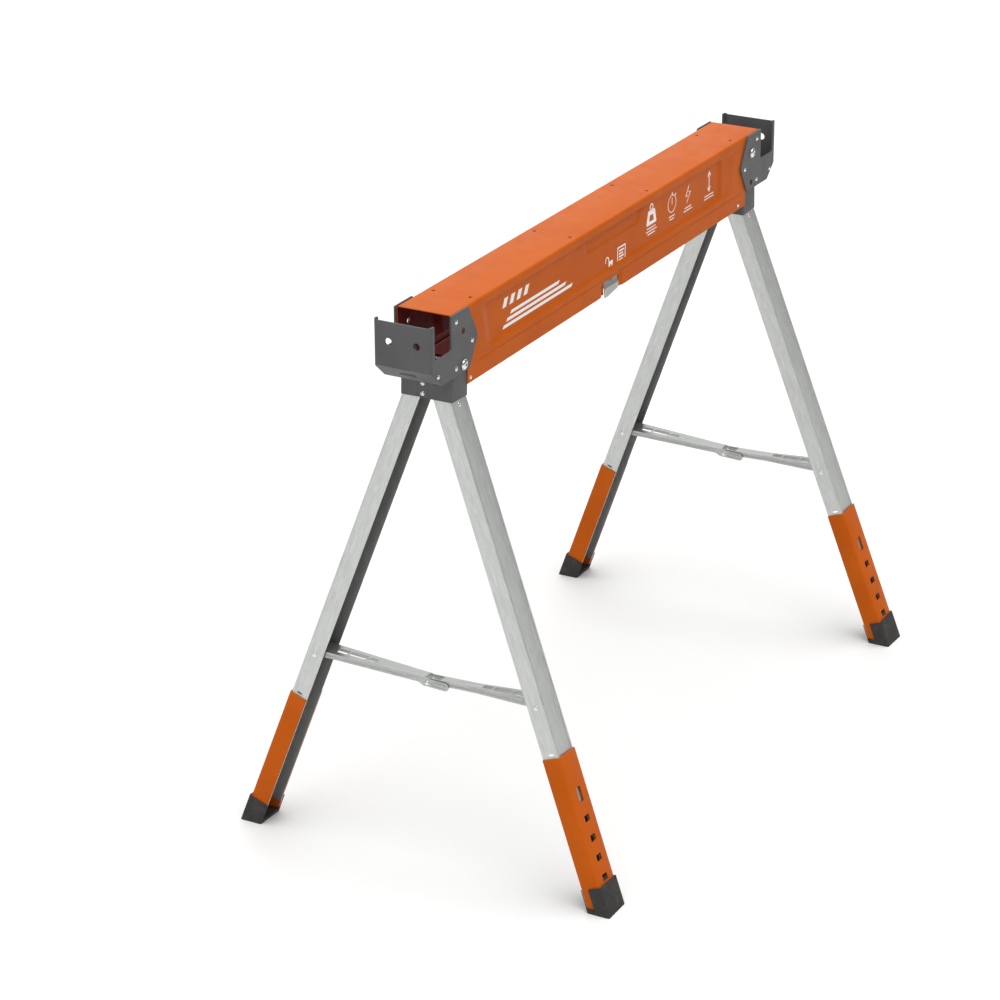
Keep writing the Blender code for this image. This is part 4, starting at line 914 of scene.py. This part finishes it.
def build_foot_tube(leg):
    name, s = leg.name, leg.s
    low, high, tube_top = tube_details(leg)
    w = abs(leg.web)
    web = s * max(abs(low.y), abs(high.y))
    section = channel(low.x, high.x, -s * w, web, 0.0016, 0.0022)
    body = slab(section, "XY", low.z - 0.03, high.z)
    middle = leg.middle
    tools = [level_block(leg, 0.006, 0.1)]
    openings = [(TUBE_SLOT[0], TUBE_SLOT[2], TUBE_SLOT[1], 0.0016)]
    openings += [(at, TUBE_HOLE[0], TUBE_HOLE[1], 0.0009) for at in TUBE_HOLES]
    for at, wide, tall, radius in openings:
        z = -tube_top - at
        corners = four_corners(middle - wide / 2, z - tall / 2, middle + wide / 2, z + tall / 2)
        tools.append(slab(rounded(corners, radius, 4), "XZ", 0, s * 0.03))
    carve(body, tools)
    node = "foot_tube_" + name
    piece(body, "foot_tube_body_" + name, "orange", "foot_" + name, leg.place, edge=0.0003, stands_for=[node])


def build_rubber_foot(leg):
    name, s = leg.name, leg.s
    low, high = local_box("rubber_foot_" + name, leg.place)
    tube_low, tube_high = local_box("foot_tube_" + name, leg.place)
    w = abs(leg.web)
    outer_y = s * max(abs(low.y), abs(high.y))
    inner_y = -s * min(abs(low.y), abs(high.y))
    corners = [(low.x, inner_y), (high.x, inner_y), (high.x, outer_y), (low.x, outer_y)]
    body = slab(rounded(corners, 0.0024, 4), "XY", low.z - 0.03, high.z)
    tube_web = max(abs(tube_low.y), abs(tube_high.y))
    pocket_low = (tube_low.x - GAP, -s * (w + GAP), low.z - 0.05)
    pocket_high = (tube_high.x + GAP, s * (tube_web + GAP), high.z + 0.05)
    pocket = carve(block(pocket_low, pocket_high), [level_block(leg, 0.0055, 0.2)])
    open_x = low.x if s < 0 else high.x
    turn = 1 if s < 0 else -1
    slit_low = (open_x - turn * 0.02, -s * 0.04, low.z - 0.05)
    slit_high = (open_x + turn * 0.0023, -s * 0.0017, high.z + 0.05)
    slit = block(slit_low, slit_high)
    carve(slit, [level_block(leg, 0.0059, 0.2)])
    mouth_low = (tube_low.x + GAP, -s * 0.05, low.z - 0.05)
    mouth_high = (tube_high.x - GAP, -s * 0.0006, high.z + 0.04)
    mouth = carve(block(mouth_low, mouth_high), [level_block(leg, 0.0062, 0.2)])
    tools = [level_block(leg, 0.0, 0.2), pocket, slit, mouth]
    for k in range(1, 5):
        x = low.x + (high.x - low.x) * k / 5
        groove_low = (x - 0.0008, inner_y - s * 0.002, low.z - 0.03)
        groove = block(groove_low, (x + 0.0008, outer_y + s * 0.002, high.z))
        clip = level_block(leg, 0.0014, 0.2)
        carve(groove, [clip], "INTERSECT")
        tools.append(groove)
    carve(body, tools)
    node = "rubber_foot_" + name
    label = "rubber_foot_body_" + name
    piece(body, label, "rubber", "foot_" + name, leg.place, edge=0.0007, stands_for=[node])


# ================================================================ brace links
LINK_LENGTH = 0.1637
LINK_TILT = math.radians(2.1)
LINK_TOP = 0.0068
LINK_FLANGE = 0.008
FORK_HALF = 0.0090
BLADE_HALF = 0.0072
LINK_HALF = 0.0150
LOBE_FRONT = 0.0316
LOBE_BACK = 0.0065
LOBE_HALF = 0.0055
LINK_SLOTS = ((0.0257, 0.0412, 0.012), (0.0434, 0.0692, 0.011), (0.0717, 0.0857, 0.009))


def link_frame(leg):
    place = joint_frame(JOINTS["brace_" + leg.name]["pos_m"], leg.x_axis, leg.x_axis.cross(Vector((0, 1, 0))))
    return place @ Matrix.Rotation(leg.s * LINK_TILT, 4, "X")


def build_link(leg):
    name, fork = leg.name, leg.side == "left"
    place = link_frame(leg)
    way = -leg.s
    tip = LINK_LENGTH
    bottom = LINK_TOP - LINK_FLANGE
    view = [(0.0096, bottom)]
    if fork:
        view += [(tip - LOBE_BACK - 0.0065, bottom), (tip - LOBE_BACK + 0.0010, 0.0007 - LOBE_HALF)]
        view += arc((tip + LOBE_FRONT - LOBE_HALF, 0.0007), LOBE_HALF, -90, 90, 12)
        view += [(tip - 0.0010, 0.0007 + LOBE_HALF), (tip - 0.0030, LINK_TOP)]
    else:
        view += [(tip - 0.008, bottom)]
        view += arc((tip, 0), 0.0048, -110, 70, 10)
        view += [(tip - 0.003, LINK_TOP)]
    view += [(-0.0025, LINK_TOP)]
    view += arc((0, 0), 0.0072, 115, 325, 16)
    link = slab([(way * a, b) for a, b in view], "YZ", -0.03, 0.03)

    def plan(inset):
        narrow = (FORK_HALF if fork else BLADE_HALF) - inset
        broad = LINK_HALF - inset
        shoulder = tip - (0.012 if fork else 0.070)
        half = [(broad, -way * 0.02), (broad, way * 0.012)]
        half += [(narrow, way * shoulder), (narrow, way * (tip + 0.05))]
        return half + [(-x, y) for x, y in reversed(half)]

    carve(link, [slab(plan(0.0), "XY", -0.02, 0.02)], "INTERSECT")
    tools = [slab(plan(LINK_SHEET), "XY", -0.03, LINK_TOP - LINK_SHEET)]
    open_from = tip - (0.004 if fork else 0.019)
    open_half = (FORK_HALF if fork else BLADE_HALF) - LINK_SHEET + 0.0001
    tools.append(block((-open_half, way * open_from, -0.02), (open_half, way * (tip + 0.05), 0.02)))
    if fork:
        tools.append(block((0, way * (tip + 0.006), -0.02), (0.05, way * (tip + 0.05), 0.02)))
    for start, stop, wide in LINK_SLOTS:
        outline = rectangle(0, way * (start + stop) / 2, wide, stop - start, 0.0022)
        tools.append(slab(outline, "XY", 0.002, 0.02))
    tools.append(rod((-0.03, 0, 0), (0.03, 0, 0), BRACE_BORE, 28))
    tools.append(rod((-0.03, way * tip, 0), (0.03, way * tip, 0), 0.0025, 24))
    groove = slab(plan(-0.002), "XY", 0.0020, 0.0034)
    carve(groove, [slab(plan(0.00045), "XY", 0.0010, 0.0044)])
    limits = block((-0.03, way * 0.016, 0), (0.03, way * (tip - 0.024), 0.006))
    tools.append(carve(groove, [limits], "INTERSECT"))
    if fork:
        ring = rectangle(way * (tip + 0.0170), 0.0007, 0.0210, 0.0064, 0.0031)
        core = rectangle(way * (tip + 0.0170), 0.0007, 0.0186, 0.0040, 0.0019)
        tools.append(slab(ring, "YZ", -FORK_HALF - 0.002, -FORK_HALF + 0.00045, holes=[core]))
    carve(link, tools)
    nodes = ["brace_link_" + name]
    piece(link, "brace_link_body_" + name, "dull", "link_" + name, place, edge=0.00025, stands_for=nodes)
    if fork:
        build_knuckle(leg, place, way * tip)


def build_knuckle(leg, place, along):
    for label, turn in (("outer", -1), ("inner", 1)):
        face = turn * (FORK_HALF + GAP / 3)
        rivet = dome((face, along, 0), (turn, 0, 0), 0.0033, 0.0012, 0.0006)
        shank = rod((turn * (FORK_HALF - LINK_SHEET), along, 0), (face, along, 0), 0.0022, 24)
        carve(rivet, [shank], "UNION")
        node = "knuckle_rivet_%s_%s" % (leg.end, label)
        name = "knuckle_body_%s_%s" % (leg.end, label)
        piece(rivet, name, "zinc", "link_" + leg.name, place, stands_for=[node])


# ================================================================ latch
def build_latch():
    low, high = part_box("latch_plate")
    pin_low, pin_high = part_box("latch_pin")
    y0, z0 = (pin_low[1] + pin_high[1]) / 2, (pin_low[2] + pin_high[2]) / 2
    face = low[1]
    sheet = 0.0014
    shelf = 0.6726
    bend = 0.6672
    profile = [(face, low[2]), (face, bend), (y0 - 0.0026, shelf), (y0 - 0.0026, z0), (y0 - 0.0013, z0)]
    profile += [(y0 - 0.0013, shelf - 0.0006), (face + sheet, bend - 0.0006), (face + sheet, low[2])]
    radii = [0.0004, 0.0016, 0.0006, 0, 0, 0.0012, 0.0006, 0.0004]
    plate = slab(rounded(profile, radii), "YZ", low[0], high[0])
    front = [(low[0], 0.6548), (low[0] + 0.010, 0.6548), (high[0], 0.6592)]
    front += [(high[0], z0 + 0.002), (low[0], z0 + 0.002)]
    carve(plate, [slab(rounded(front, [0.0014, 0.003, 0.0014, 0, 0], 4), "XZ", -0.05, -0.02)], "INTERSECT")
    carve(plate, [rod((low[0], y0, z0), (high[0], y0, z0), 0.0026, 28)], "UNION")
    spring_low, spring_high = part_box("latch_spring")
    window_low = (spring_low[0] - GAP, y0 - 0.004, shelf + 0.0016)
    tools = [block(window_low, (spring_high[0] + GAP, y0 + 0.004, z0 + 0.004))]
    tools.append(rod((low[0] - 0.01, y0, z0), (high[0] + 0.01, y0, z0), 0.0018, 28))
    for k in range(4):
        x = low[0] + 0.0068 + 0.0062 * k
        ridge = [(x, 0.6590), (x + 0.0012, 0.6590), (x + 0.0042, 0.6650), (x + 0.0030, 0.6650)]
        tools.append(slab(ridge, "XZ", face - 0.002, face + 0.0004))
    carve(plate, tools)
    plate.data.materials.clear()
    plate.data.materials.append(MATERIALS["dull"])
    plate.data.materials.append(MATERIALS["leg_inside"])
    # the bent-back top of the plate takes the darker steel: painted shade
    for polygon in plate.data.polygons:
        if polygon.center.z > bend + 0.0004:
            polygon.material_index = 1
    piece(plate, "latch_plate_body", "dull", "latch", edge=0.00025, stands_for=["latch_plate"])
    pin = rod((pin_low[0], y0, z0), (pin_high[0], y0, z0), 0.0015, 24)
    piece(pin, "latch_pin_body", "zinc", "beam", edge=0.0003, stands_for=["latch_pin"])
    turns, steps = 6, 16
    curve = bpy.data.curves.new("latch_spring", "CURVE")
    curve.dimensions = "3D"
    curve.bevel_depth = 0.00035
    curve.bevel_resolution = 2
    curve.use_fill_caps = True
    spline = curve.splines.new("POLY")
    spline.points.add(turns * steps)
    span = spring_high[0] - spring_low[0] - 0.001
    for k in range(turns * steps + 1):
        angle = 2 * math.pi * k / steps
        x = spring_low[0] + 0.0005 + span * k / (turns * steps)
        spline.points[k].co = (x, y0 + 0.0021 * math.cos(angle), z0 + 0.0021 * math.sin(angle), 1.0)
    coil = bpy.data.objects.new("latch_spring_coil", curve)
    bpy.context.scene.collection.objects.link(coil)
    mesh = bpy.data.meshes.new_from_object(coil.evaluated_get(bpy.context.evaluated_depsgraph_get()))
    bpy.data.objects.remove(coil, do_unlink=True)
    wire = bpy.data.objects.new("latch_spring_wire", mesh)
    bpy.context.scene.collection.objects.link(wire)
    piece(wire, "latch_spring_wire", "spring", "beam", stands_for=["latch_spring"], smooth=60)


# ================================================================ printed marks
PRINT_Y = -(BEAM_SIDE - PANEL_DEPTH)
PRINT_THICK = 0.00008
STRIPES_X = -0.3085


def ring_outline(x, z, radius, steps=36):
    return arc((x, z), radius, 0, 360 - 360 / steps, steps - 1)


def bar(x0, z0, x1, z1, width):
    """A straight printed stroke with square ends."""
    start, stop = Vector((x0, z0)), Vector((x1, z1))
    side = (stop - start).normalized().orthogonal() * width / 2
    return [tuple(p) for p in (start - side, stop - side, stop + side, start + side)]


def ink(outlines, name):
    """Printed shapes; each entry is an outline or (outline, holes)."""
    shapes = []
    for entry in outlines:
        outline, holes = entry if isinstance(entry, tuple) else (entry, ())
        shapes.append(slab(outline, "XZ", PRINT_Y - PRINT_THICK, PRINT_Y + 0.0002, holes=holes))
    piece(joined(shapes), name, "print", "beam")


def caption_lines(x, z, widths):
    """Plain strokes where the real object has small print."""
    lines = []
    for number, width in enumerate(widths):
        height = z - 0.0042 * number
        lines.append(bar(x - width / 2, height, x + width / 2, height, 0.0014))
    return lines


def print_open_lock(x, z):
    body = rounded(four_corners(x - 0.0005, z - 0.007, x + 0.0115, z + 0.005), 0.0012)
    keyhole = ring_outline(x + 0.0055, z - 0.001, 0.0017, 20)
    centre = (x - 0.0045, z + 0.008)
    shackle = arc(centre, 0.0052, 0, 180, 16) + list(reversed(arc(centre, 0.0036, 0, 180, 16)))
    stem = bar(x - 0.0001, z + 0.008, x - 0.0001, z + 0.0045, 0.0016)
    drop = bar(x - 0.0089, z + 0.0082, x - 0.0089, z + 0.0050, 0.0016)
    ink([(body, (keyhole,)), shackle, stem, drop], "print_open_lock")


def print_plain_label(x, z):
    outer = rounded(four_corners(x - 0.012, z - 0.011, x + 0.012, z + 0.013), 0.0012)
    inner = rounded(four_corners(x - 0.010, z - 0.009, x + 0.010, z + 0.011), 0.0006)
    fill = []
    for k in range(4):
        height = z + 0.0070 - 0.0042 * k
        fill.append(bar(x - 0.0070, height, x + 0.0070 - 0.0025 * (k % 2), height, 0.0022))
    ink([(outer, (inner,))] + fill, "print_plain_label")


def print_weight(x, z):
    weight = [(x - 0.0155, z - 0.0120), (x + 0.0155, z - 0.0120)]
    weight += [(x + 0.0100, z + 0.0085), (x - 0.0100, z + 0.0085)]
    window = [(x - 0.0070, z - 0.0075), (x + 0.0070, z - 0.0075)]
    window += [(x + 0.0052, z + 0.0015), (x - 0.0052, z + 0.0015)]
    handle = (ring_outline(x, z + 0.0125, 0.0052), (ring_outline(x, z + 0.0125, 0.0030),))
    shapes = [(rounded(weight, [0.002, 0.002, 0.003, 0.003]), (rounded(window, 0.001),)), handle]
    ink(shapes + caption_lines(x, z - 0.0165, (0.026, 0.032, 0.022)), "print_weight")


def print_stopwatch(x, z):
    dial = (ring_outline(x, z, 0.0128), (ring_outline(x, z, 0.0116),))
    hand = bar(x, z - 0.001, x, z + 0.0085, 0.0014)
    crown = bar(x, z + 0.0128, x, z + 0.0165, 0.0024)
    button = bar(x + 0.0095, z + 0.0095, x + 0.0120, z + 0.0120, 0.0018)
    ink([dial, hand, crown, button] + caption_lines(x, z - 0.0180, (0.018, 0.014)), "print_stopwatch")


def print_bolt(x, z):
    bolt = [(x + 0.003, z + 0.0145), (x - 0.0085, z - 0.0015), (x - 0.0010, z - 0.0015)]
    bolt += [(x - 0.0045, z - 0.0130), (x + 0.0085, z + 0.0035), (x + 0.0008, z + 0.0035)]
    inner = [(p[0] * 0.72 + x * 0.28, p[1] * 0.72 + (z + 0.0008) * 0.28) for p in bolt]
    ink([(bolt, (inner,))] + caption_lines(x, z - 0.0180, (0.020, 0.026)), "print_bolt")


def print_height_arrow(x, z):
    arrow = [bar(x, z - 0.0105, x, z + 0.0105, 0.0022)]
    for turn in (1, -1):
        base = z + turn * 0.0080
        arrow.append([(x - 0.0055, base), (x + 0.0055, base), (x, z + turn * 0.0155)])
    ink(arrow + caption_lines(x, z - 0.0195, (0.028, 0.030)), "print_height_arrow")


def print_stripes():
    """Slanted stripes and bars in place of lettering."""
    chevrons = []
    for k in range(4):
        x = STRIPES_X + 0.0185 * k
        chevrons.append([(x, 0.7270), (x + 0.0095, 0.7270), (x + 0.0155, 0.7390), (x + 0.0060, 0.7390)])
    ink(chevrons, "print_stripes_small")
    bars = []
    for k in range(3):
        start = STRIPES_X + 0.0100 * k
        z = 0.6990 + 0.0075 * k
        stop = -0.1230 + 0.0040 * k - 0.022 * k
        stop_top = -0.1190 + 0.0040 * k - 0.022 * k
        bars.append([(start, z), (stop, z), (stop_top, z + 0.0042), (start + 0.0040, z + 0.0042)])
    ink(bars, "print_stripes_large")


def build_prints():
    print_open_lock(-0.0165, 0.6955)
    print_plain_label(0.0205, 0.6995)
    print_weight(0.1095, 0.7285)
    print_stopwatch(0.1725, 0.7275)
    print_bolt(0.2225, 0.7265)
    print_height_arrow(0.2895, 0.7265)
    print_stripes()


# ================================================================ stage, light and camera
def build_stage():
    floor = block((-30, -30, -0.01), (30, 30, 0.0), "studio_floor")
    floor.data.materials.append(MATERIALS["floor"])
    world = bpy.data.worlds.new("studio_world")
    bpy.context.scene.world = world
    world.use_nodes = True
    background = world.node_tree.nodes["Background"]
    background.inputs["Color"].default_value = (1.0, 1.0, 1.0, 1.0)
    background.inputs["Strength"].default_value = 0.20
    add_area("backdrop_softbox", (5.6, 3.1, 3.4), (0, 0, 0.6), 6.0, 130)
    add_area("left_softbox", (-4.2, 1.2, 1.9), (0, 0, 0.45), 2.2, 22)
    sky = bpy.data.lights.new("overhead_light", "SUN")
    sky.energy = 3.45
    sky.angle = math.radians(70)
    lamp = bpy.data.objects.new("overhead_light", sky)
    lamp.rotation_euler = Vector((0.10, 0.16, -1.0)).to_track_quat("-Z", "Y").to_euler()
    bpy.context.scene.collection.objects.link(lamp)
    bpy.context.scene.view_settings.view_transform = "Standard"


def add_area(name, location, target, size, power):
    light = bpy.data.lights.new(name, "AREA")
    light.shape = "SQUARE"
    light.size = size
    light.energy = power
    lamp = bpy.data.objects.new(name, light)
    lamp.location = location
    lamp.rotation_euler = (Vector(target) - Vector(location)).to_track_quat("-Z", "Y").to_euler()
    bpy.context.scene.collection.objects.link(lamp)


def build_camera():
    azimuth, elevation = math.radians(CAMERA_AZIMUTH), math.radians(CAMERA_ELEVATION)
    level = math.cos(elevation)
    back = Vector((math.sin(azimuth) * level, -math.cos(azimuth) * level, math.sin(elevation)))
    right = Vector((0, 0, 1)).cross(back).normalized()
    up = back.cross(right)
    roll = math.radians(CAMERA_ROLL)
    turned_right = math.cos(roll) * right + math.sin(roll) * up
    turned_up = math.cos(roll) * up - math.sin(roll) * right
    lens = bpy.data.cameras.new("camera")
    lens.lens = CAMERA_LENS_MM
    lens.sensor_width = 36.0
    lens.clip_end = 100.0
    camera = bpy.data.objects.new("camera", lens)
    matrix = Matrix((turned_right, turned_up, back)).transposed().to_4x4()
    matrix.translation = Vector(CAMERA_AT)
    camera.matrix_world = matrix
    bpy.context.scene.collection.objects.link(camera)
    bpy.context.scene.camera = camera


build_camera()
build_stage()
build_beam()
build_latch()
build_prints()
for end_name, end_sign in ENDS.items():
    build_bracket(end_name, end_sign)
    build_bolt(end_name)
    build_head(end_name, end_sign)
for one in LEGS.values():
    build_leg(one)
    build_foot_tube(one)
    build_rubber_foot(one)
    build_link(one)
